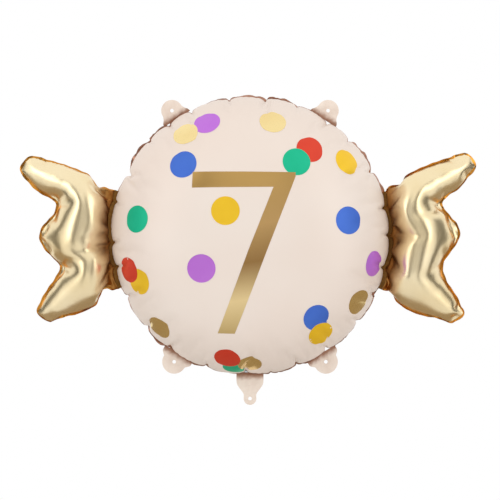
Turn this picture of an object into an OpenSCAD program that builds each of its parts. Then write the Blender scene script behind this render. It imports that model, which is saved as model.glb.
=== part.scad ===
// Candy-shaped foil number balloon: a round pillow with two wrapper wings, four hanging
// tabs and a filling tail. Width is X, the printed front faces -Y, height is Z.
// The origin is the centre of the eyelet in the tail, where the balloon is tied.

/* [Round body] */
// Radius of the inflated round body at the inner edge of its weld
body_r = 163; // [120:1:220]
// Width of the welded rim round every pillow
weld_w = 5; // [3:0.5:8]
// Thickness of one ply of foil
foil_t = 0.6; // [0.4:0.05:0.8]
// Thickness of the weld between the two plies
seal_t = 0.8; // [0.7:0.05:1.2]

/* [Wings] */
// Width of the weld strip between the round body and a wing
web_w = 4; // [3:0.5:7]
// Angle from the middle up to the top corner of a wing's root
root_high = 18; // [14:0.5:24]
// Angle from the middle down to the bottom corner of a wing's root
root_low = 22; // [14:0.5:24]
// Reach of the upper point of a wing past the round body's rim
high_point_out = 107; // [70:1:140]
// Reach of the lower point of a wing past the round body's rim
low_point_out = 94; // [70:1:140]
// Height of the upper point of a wing above the body's centre
high_point_up = 92; // [75:1:120]
// Depth of the lower point of a wing below the body's centre
low_point_down = 92; // [75:1:120]
// Depth of each round bite in a wing's outer edge
bite_depth = 20.5; // [8:0.5:28]
// How far the wing's middle point stands back from its outer points
middle_back = 12; // [4:0.5:18]
// Rise of a wing's top and bottom edges above a straight line
edge_bulge = 7; // [0:0.5:12]
// Half of a wing's inflated thickness
wing_half = 28; // [16:1:36]
// Width of the air channel through each wing's weld strip
air_w = 12; // [6:1:20]

/* [Hanging tabs] */
// Angle of the upper tabs from the vertical
upper_tab_angle = 32; // [24:1:50]
// Angle of the lower tabs from the vertical
lower_tab_angle = 31; // [24:1:50]
// Width of a tab where it leaves the rim
tab_w = 36; // [30:1:44]
// Radius of a tab's round end
tab_end_r = 12.5; // [9:0.5:14]
// Distance of a tab's hole outside the rim
tab_hole_out = 10; // [7:0.5:16]
// Radius of the holes punched in the tabs
tab_hole_r = 2.2; // [1.5:0.1:4]

/* [Filling tail] */
// Distance from the rim down to the eyelet
eyelet_drop = 29; // [26:1:45]
// Width of the tail at its shoulders
tail_w = 32.6; // [28:0.2:40]
// Height of the shoulders above the eyelet
shoulder_up = 16.5; // [14:0.5:20]
// Radius of the round end that holds the eyelet
nub_r = 7.7; // [6:0.1:9]
// Height where the taper meets the round end's sides
taper_up = 8; // [5:0.5:10]
// Radius of the eyelet
eyelet_r = 2.2; // [1.5:0.1:4]

/* [Filling valve] */
// Width of the valve's two films
valve_w = 18; // [12:1:22]
// Length of the valve flaps inside the round body
flap_len = 120; // [60:5:160]
// Gap between the two valve films
film_gap = 0.1; // [0.1:0.05:0.3]

/* [Print] */
// Height of the number's top edge above the body's centre
number_top = 75; // [60:1:90]
// Height of the number
number_h = 191; // [140:1:200]
// Width of the number's top bar
number_w = 122; // [90:1:140]
// Height of the number's top bar
bar_h = 18; // [10:1:26]
// Distance of the number's left edge from the body's centre
number_left = 68; // [50:1:80]
// Width of the number's stem along its foot
stem_w = 20; // [12:1:28]
// Thickness of the printed layers
print_t = 0.2; // [0.1:0.05:0.4]

/* [Hidden] */

$fn = 96;
seal_half = seal_t / 2;
stack_half = seal_half + foil_t;
rim_r = body_r + weld_w;
centre_z = rim_r + eyelet_drop;
// a small gap between bodies, and the room a bending tab needs beside the rim
clearance = 0.3;
bend_room = stack_half + clearance;
dome_steps = 18;
wing_u_steps = 12;
wing_v_steps = 20;
root_r = rim_r + web_w;
film_t = seal_half - film_gap / 2;
flap_foot_r = body_r - 3;
// the printed layers lie this far off the foil
print_gap = 0.1;

PINK = [0.94, 0.88, 0.84];
GOLD = [0.83, 0.69, 0.42];
CLEAR = [0.88, 0.9, 0.92];

// Dots: [x, height above the body's centre, radius, level]; a dot of a higher level is
// printed on top, and a body too small for the artwork cuts it off at its weld
// the print stops this far inside the weld
print_margin = 1;
DOTS_RED = [[71, 102, 15.5, 1], [-144, -41, 11, 2], [-27, -146, 10, 3]];
DOTS_BLUE = [[-79, 84, 16, 1], [117, 17, 16, 1], [79, -98, 15, 1]];
DOTS_GREEN = [[-134, 19, 14, 1], [55, 87, 16.5, 2], [-18, -154, 6, 1]];
DOTS_YELLOW = [[-29, 29, 17, 1], [115, 87, 13, 1], [-132, -55, 13, 1], [84, -117, 13, 2]];
DOTS_PURPLE = [[-51, 133, 14, 1], [-57, -39, 17, 1], [147, -33, 10, 1]];
DOTS_GOLD = [[-76, 120, 14, 2], [27, 135, 14, 1], [-106, -107, 11, 1], [1, -152, 8, 2],
             [128, -79, 12, 1]];
ALL_DOTS = concat(DOTS_RED, DOTS_BLUE, DOTS_GREEN, DOTS_YELLOW, DOTS_PURPLE, DOTS_GOLD);

function lerp(a, b, t) = a + (b - a) * t;
function arc(cx, cy, r, from, to, n = 8) =
    [for (i = [0 : n]) let (a = lerp(from, to, i / n)) [cx + r * cos(a), cy + r * sin(a)]];

// ---- Round body: the profile of two round sheets welded at the rim and blown up ----

// height of the inflated sheet where its slope angle is phi (0 at the crown, 90 at the rim)
function sheet_rise(r, phi, steps = 24) =
    let (d = (90 - phi) / steps)
    r / 2 * d * PI / 180 * sum([for (i = [0 : steps - 1]) sqrt(sin(phi + (i + 0.5) * d))]);
function sum(list, i = 0) = i < len(list) ? list[i] + sum(list, i + 1) : 0;
// a point of the sheet's section, thick millimetres outside the inner face
function section_point(phi, thick) =
    let (r = body_r - foil_t)
    [r * sqrt(sin(phi)) + thick * sin(phi), seal_half + sheet_rise(r, phi) + thick * cos(phi)];
function section_curve(thick) =
    [for (i = [0 : dome_steps]) section_point(90 * pow(i / dome_steps, 1.6), thick)];
function reversed(list) = [for (i = [len(list) - 1 : -1 : 0]) list[i]];

module layer_on_dome(inner, outer) {
    rotate_extrude() polygon(concat(section_curve(inner), reversed(section_curve(outer))));
}

module to_front() {
    translate([0, 0, centre_z]) rotate([90, 0, 0]) children();
}

module ring(inner_r, outer_r, low, high) {
    rotate_extrude() translate([inner_r, low]) square([outer_r - inner_r, high - low]);
}

module body_panel() {
    to_front() union() {
        layer_on_dome(0, foil_t);
        ring(body_r - foil_t, rim_r, seal_half, stack_half);
    }
}

module body_front_panel() {
    color(PINK) body_panel();
}

module body_back_panel() {
    color(PINK) mirror([0, 1, 0]) body_panel();
}

module body_rim_seal() {
    color(PINK) to_front() difference() {
        ring(body_r, rim_r, -seal_half, seal_half);
        translate([-valve_w / 2, -rim_r - 1, -seal_t]) cube([valve_w, rim_r, 2 * seal_t]);
        translate([-rim_r - 1, -air_w / 2, -seal_t]) cube([2 * rim_r + 2, air_w, 2 * seal_t]);
    }
}

// ---- Print on the front ----

module on_front() {
    to_front() intersection() {
        layer_on_dome(foil_t + print_gap, foil_t + print_gap + print_t);
        linear_extrude(body_r) intersection() {
            circle(body_r - print_margin);
            children();
        }
    }
}

module number_outline() {
    right = number_w - number_left;
    bottom = number_top - number_h;
    foot_left = -number_left + number_w / 4;
    polygon([[-number_left, number_top], [right, number_top], [right, number_top - bar_h / 3],
             [foot_left + stem_w, bottom], [foot_left, bottom],
             [right - stem_w * 1.3, number_top - bar_h], [-number_left, number_top - bar_h]]);
}

module number_print() {
    color(GOLD) on_front() number_outline();
}

function covers(over, under) =
    over[3] > under[3] && norm([over[0] - under[0], over[1] - under[1]]) < over[2] + under[2];

module dot(d) {
    translate([d[0], d[1]]) circle(d[2]);
}

module dots(list) {
    on_front() difference() {
        for (d = list) difference() {
            dot(d);
            for (o = ALL_DOTS) if (covers(o, d)) dot(o);
        }
        number_outline();
    }
}

module dots_red() { color("tomato") dots(DOTS_RED); }
module dots_blue() { color("royalblue") dots(DOTS_BLUE); }
module dots_green() { color("mediumseagreen") dots(DOTS_GREEN); }
module dots_yellow() { color("gold") dots(DOTS_YELLOW); }
module dots_purple() { color("mediumorchid") dots(DOTS_PURPLE); }
module dots_gold() { color("palegoldenrod") dots(DOTS_GOLD); }

// ---- Filling valve: two films through the neck, free inside the body as flaps ----

// a film on the front side, from radius low_r out to high_r below the body's centre
module neck_film(low_r, high_r) {
    translate([-valve_w / 2, -seal_half, centre_z - high_r]) cube([valve_w, film_t, high_r - low_r]);
}

module valve_collar_film() {
    neck_film(flap_foot_r + clearance, rim_r);
}

module valve_flap() {
    neck_film(flap_foot_r - flap_len, flap_foot_r);
}

module valve_collar_front_film() { color(CLEAR) valve_collar_film(); }
module valve_collar_back_film() { color(CLEAR) mirror([0, 1, 0]) valve_collar_film(); }
module valve_front_flap() { color(CLEAR) valve_flap(); }
module valve_back_flap() { color(CLEAR) mirror([0, 1, 0]) valve_flap(); }

// ---- Filling tail, bending about a line just below the rim ----

tail_top = eyelet_drop - bend_room;
shoulder_r = 4;
channel_low = shoulder_up - shoulder_r;

function tail_side(side) = concat(
    [[side * tail_w / 2, tail_top]],
    [for (p = arc(tail_w / 2 - shoulder_r, shoulder_up, shoulder_r, 0, -60)) [side * p[0], p[1]]],
    [[side * nub_r, taper_up]]);

module tail_outline() {
    polygon(concat(tail_side(1), arc(0, 0, nub_r, 0, -180, 24), reversed(tail_side(-1))));
}

module tail_layer(low, high) {
    rotate([90, 0, 0]) difference() {
        translate([0, 0, low]) linear_extrude(high - low) tail_outline();
        translate([0, 0, low - 1]) cylinder(r = eyelet_r, h = high - low + 2);
    }
}

module tail_film() {
    translate([-valve_w / 2, -seal_half, channel_low]) cube([valve_w, film_t, tail_top - channel_low]);
}

module tail_front_ply() { color(PINK) tail_layer(seal_half, stack_half); }
module tail_back_ply() { color(PINK) tail_layer(-stack_half, -seal_half); }
module tail_side_seal() {
    color(PINK) difference() {
        tail_layer(-seal_half, seal_half);
        translate([-valve_w / 2, -seal_t, channel_low]) cube([valve_w, 2 * seal_t, tail_top]);
    }
}
module tail_front_film() { color(CLEAR) tail_film(); }
module tail_back_film() { color(CLEAR) mirror([0, 1, 0]) tail_film(); }

// ---- Hanging tabs, each bending about a line just outside the rim ----

tab_hole_r_pos = rim_r + tab_hole_out;

// a tab that points along +X from the body's centre
module tab_outline() {
    shoulder_x = rim_r + bend_room;
    lean = 90 - asin((tab_w / 2 - tab_end_r) / tab_hole_out * 0.8);
    polygon(concat([[shoulder_x, -tab_w / 2]], arc(tab_hole_r_pos, 0, tab_end_r, -lean, lean, 24),
                   [[shoulder_x, tab_w / 2]]));
}

// angle is measured from the front's right-hand side, anticlockwise
module tab(angle) {
    color(PINK) to_front() rotate([0, 0, angle]) difference() {
        union() {
            translate([0, 0, -stack_half]) linear_extrude(2 * stack_half) tab_outline();
            translate([rim_r + bend_room, 0, 0]) rotate([90, 0, 0])
                cylinder(r = stack_half, h = tab_w, center = true);
        }
        translate([tab_hole_r_pos, 0, -stack_half - 1]) cylinder(r = tab_hole_r, h = 2 * stack_half + 2);
    }
}

module tab_upper_left() { tab(90 + upper_tab_angle); }
module tab_upper_right() { tab(90 - upper_tab_angle); }
module tab_lower_left() { tab(270 - lower_tab_angle); }
module tab_lower_right() { tab(270 + lower_tab_angle); }

// ---- Wings: u runs outward from the root, v runs up, both 0 to 1 inside the pillow ----

function wing_root(v) = let (a = lerp(-root_low, root_high, v)) root_r * [cos(a), sin(a)];
function wing_edge(v) =
    [rim_r + lerp(low_point_out, high_point_out, v) - weld_w
         - middle_back * sin(180 * v) - bite_depth * pow(sin(360 * v), 2),
     lerp(-low_point_down, high_point_up, v)];
// a point of the wing's flat outline; the ends run past the pillow by the weld's width
function wing_point(u, v) =
    let (cu = min(u, 1), cv = max(0, min(v, 1)),
         p = lerp(wing_root(cv), wing_edge(cv), cu),
         rise = edge_bulge * sin(180 * cu) * (2 * cv - 1),
         past = v > 1 ? weld_w : v < 0 ? -weld_w : 0)
    [p[0] + (u > 1 ? weld_w : 0), p[1] + rise + past];
function wing_height(u, v) =
    u <= 0 || u >= 1 || v <= 0 || v >= 1 ? 0 : wing_half * sqrt(sin(180 * u) * sin(180 * v));

u_values = [for (i = [0 : wing_u_steps + 1]) i / wing_u_steps];
v_values = [for (j = [-1 : wing_v_steps + 1]) j / wing_v_steps];
u_count = len(u_values);
v_count = len(v_values);

function wing_layer(offset) =
    [for (u = u_values) for (v = v_values)
        let (p = wing_point(u, v)) [p[0], p[1], offset + wing_height(u, v)]];
function cell(i, j, top) =
    let (base = top ? 0 : u_count * v_count, a = base + i * v_count + j, b = a + v_count)
    top ? [[a, a + 1, b], [a + 1, b + 1, b]] : [[a, b, a + 1], [a + 1, b, b + 1]];
function wall(a, b) = let (n = u_count * v_count) [[a, b + n, b], [a, a + n, b + n]];

module wing_panel() {
    last_row = (u_count - 1) * v_count;
    top_and_bottom = [for (top = [true, false]) for (i = [0 : u_count - 2])
        for (j = [0 : v_count - 2]) each cell(i, j, top)];
    ends = [for (i = [0 : u_count - 2]) each concat(
        wall((i + 1) * v_count, i * v_count),
        wall(i * v_count + v_count - 1, (i + 1) * v_count + v_count - 1))];
    sides = [for (j = [0 : v_count - 2]) each concat(
        wall(j, j + 1), wall(last_row + j + 1, last_row + j))];
    to_front() polyhedron(concat(wing_layer(stack_half), wing_layer(seal_half)),
                          concat(top_and_bottom, ends, sides), convexity = 6);
}

// the outline from the root's bottom corner round to its top corner, grown by past steps
module wing_outline(past) {
    du = past / wing_u_steps;
    dv = past / wing_v_steps;
    polygon(concat(
        [for (i = [0 : wing_u_steps]) wing_point(i / wing_u_steps, -dv)],
        [for (j = [0 : wing_v_steps]) wing_point(1 + du, j == 0 ? -dv : j / wing_v_steps)],
        [wing_point(1 + du, 1 + dv)],
        [for (i = [wing_u_steps : -1 : 0]) wing_point(i / wing_u_steps, 1 + dv)],
        [for (j = [wing_v_steps : -1 : 0]) wing_point(0, j / wing_v_steps)]));
}

module wing_rim_seal() {
    to_front() translate([0, 0, -seal_half]) linear_extrude(seal_t) difference() {
        wing_outline(1);
        wing_outline(0);
    }
}

module wing_web() {
    extra = asin(weld_w / root_r);
    to_front() difference() {
        rotate([0, 0, -root_low - extra]) rotate_extrude(angle = root_low + root_high + 2 * extra)
            translate([rim_r, -stack_half]) square([web_w - clearance, 2 * stack_half]);
        translate([0, -air_w / 2, -seal_half]) cube([2 * rim_r, air_w, seal_t]);
    }
}

module right_wing_web() { color(GOLD) wing_web(); }
module right_wing_front_panel() { color(GOLD) wing_panel(); }
module right_wing_back_panel() { color(GOLD) mirror([0, 1, 0]) wing_panel(); }
module right_wing_rim_seal() { color(GOLD) wing_rim_seal(); }
module left_wing_web() { mirror([1, 0, 0]) right_wing_web(); }
module left_wing_front_panel() { mirror([1, 0, 0]) right_wing_front_panel(); }
module left_wing_back_panel() { mirror([1, 0, 0]) right_wing_back_panel(); }
module left_wing_rim_seal() { mirror([1, 0, 0]) right_wing_rim_seal(); }

body_front_panel();
body_back_panel();
body_rim_seal();
number_print();
dots_red();
dots_blue();
dots_green();
dots_yellow();
dots_purple();
dots_gold();
valve_collar_front_film();
valve_collar_back_film();
valve_front_flap();
valve_back_flap();
tail_front_ply();
tail_back_ply();
tail_side_seal();
tail_front_film();
tail_back_film();
tab_upper_left();
tab_upper_right();
tab_lower_left();
tab_lower_right();
left_wing_web();
left_wing_front_panel();
left_wing_back_panel();
left_wing_rim_seal();
right_wing_web();
right_wing_front_panel();
right_wing_back_panel();
right_wing_rim_seal();
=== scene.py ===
"""The looks of a candy-shaped foil number balloon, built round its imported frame.

The round body and the two wings are each two flat films, welded along their outline and
blown up with the cloth solver, so their puckers come from the foil itself. Lengths in the
classes are millimetres from the round body's centre, with x to the right, y to the back
and z up. Meshes are put down in metres in the frame's own place.
"""

from __future__ import annotations

import logging
import math
import random
from collections.abc import Callable
from dataclasses import dataclass
from enum import Enum

import bmesh
import bpy
import numpy as np
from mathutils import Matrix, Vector
from mathutils.bvhtree import BVHTree
from mathutils.geometry import delaunay_2d_cdt

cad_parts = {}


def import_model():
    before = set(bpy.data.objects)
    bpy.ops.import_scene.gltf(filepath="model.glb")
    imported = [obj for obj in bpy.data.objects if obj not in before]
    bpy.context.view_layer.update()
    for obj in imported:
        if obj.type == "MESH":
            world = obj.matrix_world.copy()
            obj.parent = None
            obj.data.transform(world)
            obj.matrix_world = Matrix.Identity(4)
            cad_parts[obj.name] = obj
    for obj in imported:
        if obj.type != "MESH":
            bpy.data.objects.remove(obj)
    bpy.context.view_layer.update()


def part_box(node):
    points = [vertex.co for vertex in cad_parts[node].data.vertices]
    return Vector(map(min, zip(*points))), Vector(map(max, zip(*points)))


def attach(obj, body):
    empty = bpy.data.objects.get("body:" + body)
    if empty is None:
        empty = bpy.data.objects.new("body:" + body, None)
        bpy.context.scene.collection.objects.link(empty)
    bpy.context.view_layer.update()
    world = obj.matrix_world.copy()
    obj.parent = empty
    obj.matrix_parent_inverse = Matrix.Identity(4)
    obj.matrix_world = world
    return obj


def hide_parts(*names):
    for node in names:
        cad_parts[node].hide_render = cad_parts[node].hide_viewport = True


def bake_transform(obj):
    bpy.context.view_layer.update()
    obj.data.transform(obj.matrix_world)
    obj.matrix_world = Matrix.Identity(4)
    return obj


LOG = logging.getLogger("balloon")
MM = 0.001
# edges that turn more than this are a film's cut edges and are shaded sharp
SHARP_FROM = math.radians(60)
# distance between rows of even triangles, as a share of their size
ROW_SHARE = 0.87
# points nearer to an edge than this share of the triangles' size are left out
NEAREST = 0.6
# share of a triangle's curved height that a point laid on it takes up
ROUNDING = 0.6
Point = tuple[float, float]


class Side(Enum):
    """Which side of the round body a piece is on."""

    LEFT = -1
    RIGHT = 1

    @property
    def word(self) -> str:
        """The side's name in the frame's node names."""
        return self.name.lower()


# ---- Small helpers -------------------------------------------------------------------


def smooth_step(value: np.ndarray | float) -> np.ndarray | float:
    """Eases a value from 0 to 1.

    Args:
        value: any number or array; it is cut to the range 0 to 1 first.

    Returns:
        The eased value.
    """
    clipped = np.clip(value, 0.0, 1.0)
    return clipped * clipped * (3 - 2 * clipped)


def smooth_curve(knots: list[Point], steps: int = 24) -> Callable[[float], np.ndarray]:
    """Makes a smooth curve through a few points.

    Args:
        knots: the points that the curve passes through.
        steps: how many short lines stand for each stretch.

    Returns:
        A function from 0..1 along the curve's length to a point on it.
    """
    ends = [np.array(knots[0]) * 2 - knots[1], *map(np.array, knots)]
    ends.append(np.array(knots[-1]) * 2 - knots[-2])
    line = []
    for a, b, c, d in zip(ends, ends[1:], ends[2:], ends[3:]):
        for step in range(steps):
            t = step / steps
            line.append(
                b + 0.5 * t * (c - a + t * (2 * a - 5 * b + 4 * c - d + t * (3 * (b - c) + d - a)))
            )
    line.append(ends[-2])
    return along(np.array(line))


def along(line: np.ndarray) -> Callable[[float], np.ndarray]:
    """Measures a line of points by its length.

    Args:
        line: the points, one row each.

    Returns:
        A function from 0..1 along the line's length to a point on it.
    """
    steps = np.linalg.norm(np.diff(line, axis=0), axis=1)
    length = np.concatenate([[0.0], np.cumsum(steps)])
    length /= length[-1]
    return lambda t: np.array([np.interp(t, length, column) for column in line.T])


def march(
    curve: Callable[[float], np.ndarray], spacing: Callable[[np.ndarray], float], first: float
) -> list[float]:
    """Steps along a curve, each step as long as the spacing there.

    Args:
        curve: the curve, a function of 0..1.
        spacing: how far apart points may be at a place.
        first: the first step, as a share of the spacing there.

    Returns:
        The values of 0..1 at which a point is put.
    """
    samples = np.linspace(0, 1, 301)
    line = np.array([curve(t) for t in samples])
    length = np.concatenate([[0.0], np.cumsum(np.linalg.norm(np.diff(line, axis=0), axis=1))])
    places = []
    at = first * spacing(line[0])
    while at < length[-1]:
        t = float(np.interp(at, length, samples))
        places.append(t)
        at += spacing(curve(t))
    return places


def even_steps(curve: Callable[[float], np.ndarray], spacing: float) -> list[float]:
    """Divides a curve into equal steps near a spacing, without its far end.

    Args:
        curve: the curve, a function of 0..1.
        spacing: the wanted step.

    Returns:
        The values of 0..1 at which a point is put.
    """
    samples = np.linspace(0, 1, 401)
    line = np.array([curve(t) for t in samples])
    length = np.concatenate([[0.0], np.cumsum(np.linalg.norm(np.diff(line, axis=0), axis=1))])
    count = max(2, round(length[-1] / spacing))
    return [float(np.interp(length[-1] * k / count, length, samples)) for k in range(count)]


def triangle_size(fine: float, coarse: float, depth: float, band: tuple[float, float]) -> float:
    """Chooses how large a film's triangles are at a depth inside its weld.

    Args:
        fine: their size at the weld.
        coarse: their size deep inside.
        depth: distance inside the weld.
        band: depth at which they start to grow, and the distance over which they do.

    Returns:
        Their size.
    """
    start, over = band
    return fine + (coarse - fine) * min(1.0, max(0.0, (depth - start) / over))


def inside(point: Point, outline: np.ndarray) -> bool:
    """Tells whether a flat point lies inside a closed outline.

    Args:
        point: the flat point.
        outline: the outline's points in order.

    Returns:
        True if it lies inside.
    """
    x, z = point
    x1, z1 = outline.T
    x2, z2 = np.roll(outline, -1, axis=0).T
    crosses = (z1 > z) != (z2 > z)
    with np.errstate(divide="ignore", invalid="ignore"):
        reach = (x2 - x1) * (z - z1) / (z2 - z1) + x1
    return bool(np.count_nonzero(crosses & (x < reach)) % 2)


def triangulate(points: np.ndarray, loops: list[list[int]]) -> np.ndarray:
    """Cuts a flat film into triangles.

    Args:
        points: every flat point of the film.
        loops: closed rings of point numbers; the first is the outline, the rest are holes.

    Returns:
        The triangles, anticlockwise, as rows of point numbers.
    """
    edges = [(a, b) for ring in loops for a, b in zip(ring, ring[1:] + ring[:1])]
    found = delaunay_2d_cdt([Vector(p) for p in points], edges, [], 0, 1e-5)
    faces = np.array(found[2])
    middles = points[faces].mean(axis=1)
    keep = [
        inside(m, points[loops[0]]) and not any(inside(m, points[hole]) for hole in loops[1:])
        for m in middles
    ]
    return faces[keep]


def normals_of(points: np.ndarray, faces: np.ndarray) -> np.ndarray:
    """Works out each point's normal from the faces round it.

    Args:
        points: places in space, one row each.
        faces: triangles as rows of point numbers.

    Returns:
        Unit normals, one row for each point.
    """
    a, b, c = (points[faces[:, k]] for k in range(3))
    across = np.cross(b - a, c - a)
    total = np.zeros_like(points)
    for k in range(3):
        np.add.at(total, faces[:, k], across)
    return total / np.maximum(np.linalg.norm(total, axis=1, keepdims=True), 1e-9)


def calmed(points: np.ndarray, faces: np.ndarray, held: list[int], rounds: int) -> np.ndarray:
    """Evens out a film's finest crumples and leaves its larger folds.

    Args:
        points: places in space, one row each.
        faces: triangles as rows of point numbers.
        held: points that stay where they are.
        rounds: how many times each point moves halfway to the middle of its neighbours.

    Returns:
        The new places.
    """
    edges = np.unique(np.sort(faces[:, [0, 1, 1, 2, 2, 0]].reshape(-1, 2), axis=1), axis=0)
    links = np.vstack([edges, edges[:, ::-1]])
    counts = np.maximum(np.bincount(links[:, 0], minlength=len(points)), 1)[:, None]
    free = np.ones((len(points), 1))
    free[held] = 0.0
    for _ in range(rounds):
        total = np.zeros_like(points)
        np.add.at(total, links[:, 0], points[links[:, 1]])
        points = points + 0.5 * free * (total / counts - points)
    return points


# ---- Films as pieces -----------------------------------------------------------------


@dataclass
class Film:
    """A film in space, ready to become a piece.

    Attributes:
        points: places in millimetres from the body's centre.
        faces: triangles whose normals point to the film's outside.
        flat: the same points on the flat film, in millimetres.
        thick: thickness, added on the inside.
    """

    points: np.ndarray
    faces: np.ndarray
    flat: np.ndarray
    thick: float = 0.12

    def trimmed(self) -> Film:
        """Leaves out the points that no face uses."""
        used, faces = np.unique(self.faces, return_inverse=True)
        return Film(self.points[used], faces.reshape(-1, 3), self.flat[used], self.thick)


@dataclass
class Workshop:
    """Puts pieces down in the frame and dresses them.

    Attributes:
        origin: the round body's centre in the frame, in metres.
        finishes: the materials by name.
    """

    origin: Vector
    finishes: dict[str, bpy.types.Material]

    def put(
        self, node: str, film: Film, finish: str, kind: str = "foil"
    ) -> bpy.types.Object:
        """Makes the piece that stands for a node from a film.

        Args:
            node: the node that it stands for.
            film: its shape.
            finish: the name of its material.
            kind: the last word of the piece's name.

        Returns:
            The new object, at the frame's origin and unturned.
        """
        name = f"{node}_{kind}"
        film = film.trimmed()
        mesh = bpy.data.meshes.new(name)
        places = film.points * MM + np.array(self.origin)
        mesh.from_pydata(places.tolist(), [], film.faces.tolist())
        flat = mesh.uv_layers.new(name="flat")
        corners = np.zeros(len(mesh.loops), dtype=np.int32)
        mesh.loops.foreach_get("vertex_index", corners)
        flat.data.foreach_set("uv", (film.flat[corners] * MM).ravel())
        mesh.polygons.foreach_set("use_smooth", np.ones(len(mesh.polygons), dtype=bool))
        piece = bpy.data.objects.new(name, mesh)
        bpy.context.scene.collection.objects.link(piece)
        ply = piece.modifiers.new("ply", "SOLIDIFY")
        ply.thickness = film.thick * MM
        ply.offset = -1
        self.settle(piece)
        self.dress(piece, node, finish)
        return piece

    def settle(self, piece: bpy.types.Object) -> None:
        """Applies a piece's modifiers to its mesh and keeps the film's cut edges sharp.

        Args:
            piece: the object with the modifiers.
        """
        graph = bpy.context.evaluated_depsgraph_get()
        made = bpy.data.meshes.new_from_object(piece.evaluated_get(graph))
        piece.modifiers.clear()
        piece.data = made
        made.name = piece.name
        made.set_sharp_from_angle(angle=SHARP_FROM)

    def dress(self, piece: bpy.types.Object, node: str, finish: str) -> None:
        """Gives a piece its material and the node that it stands for.

        Args:
            piece: the finished object.
            node: the node that it stands for.
            finish: the name of its material.
        """
        piece.data.materials.clear()
        piece.data.materials.append(self.finishes[finish])
        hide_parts(node)
        LOG.info("%s: %d faces", piece.name, len(piece.data.polygons))


# ---- Blowing up a pillow -------------------------------------------------------------


@dataclass(frozen=True)
class GasFill:
    """How the foil and the gas behave in the cloth solver.

    Attributes:
        scale: solver units for each metre; the solver works best near unit size.
        pressure: pressure of the gas.
        tension: how hard the foil resists stretching.
        gather: how hard the open sheet resists gathering.
        seam_gather: the same at the weld, which makes it buckle instead.
        seam_reach: how far in from the weld its stiffness fades.
        shear: how hard the foil resists shearing.
        bending: how hard the foil resists bending.
        frames: how long the solver runs.
        ramp: frames over which the sheet's size goes from its first guess to the cut size.
    """

    scale: float = 10.0
    pressure: float = 5.0
    tension: float = 80.0
    gather: float = 2.0
    seam_gather: float = 120.0
    seam_reach: float = 8.0
    shear: float = 10.0
    bending: float = 0.02
    frames: int = 26
    ramp: int = 6


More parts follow.
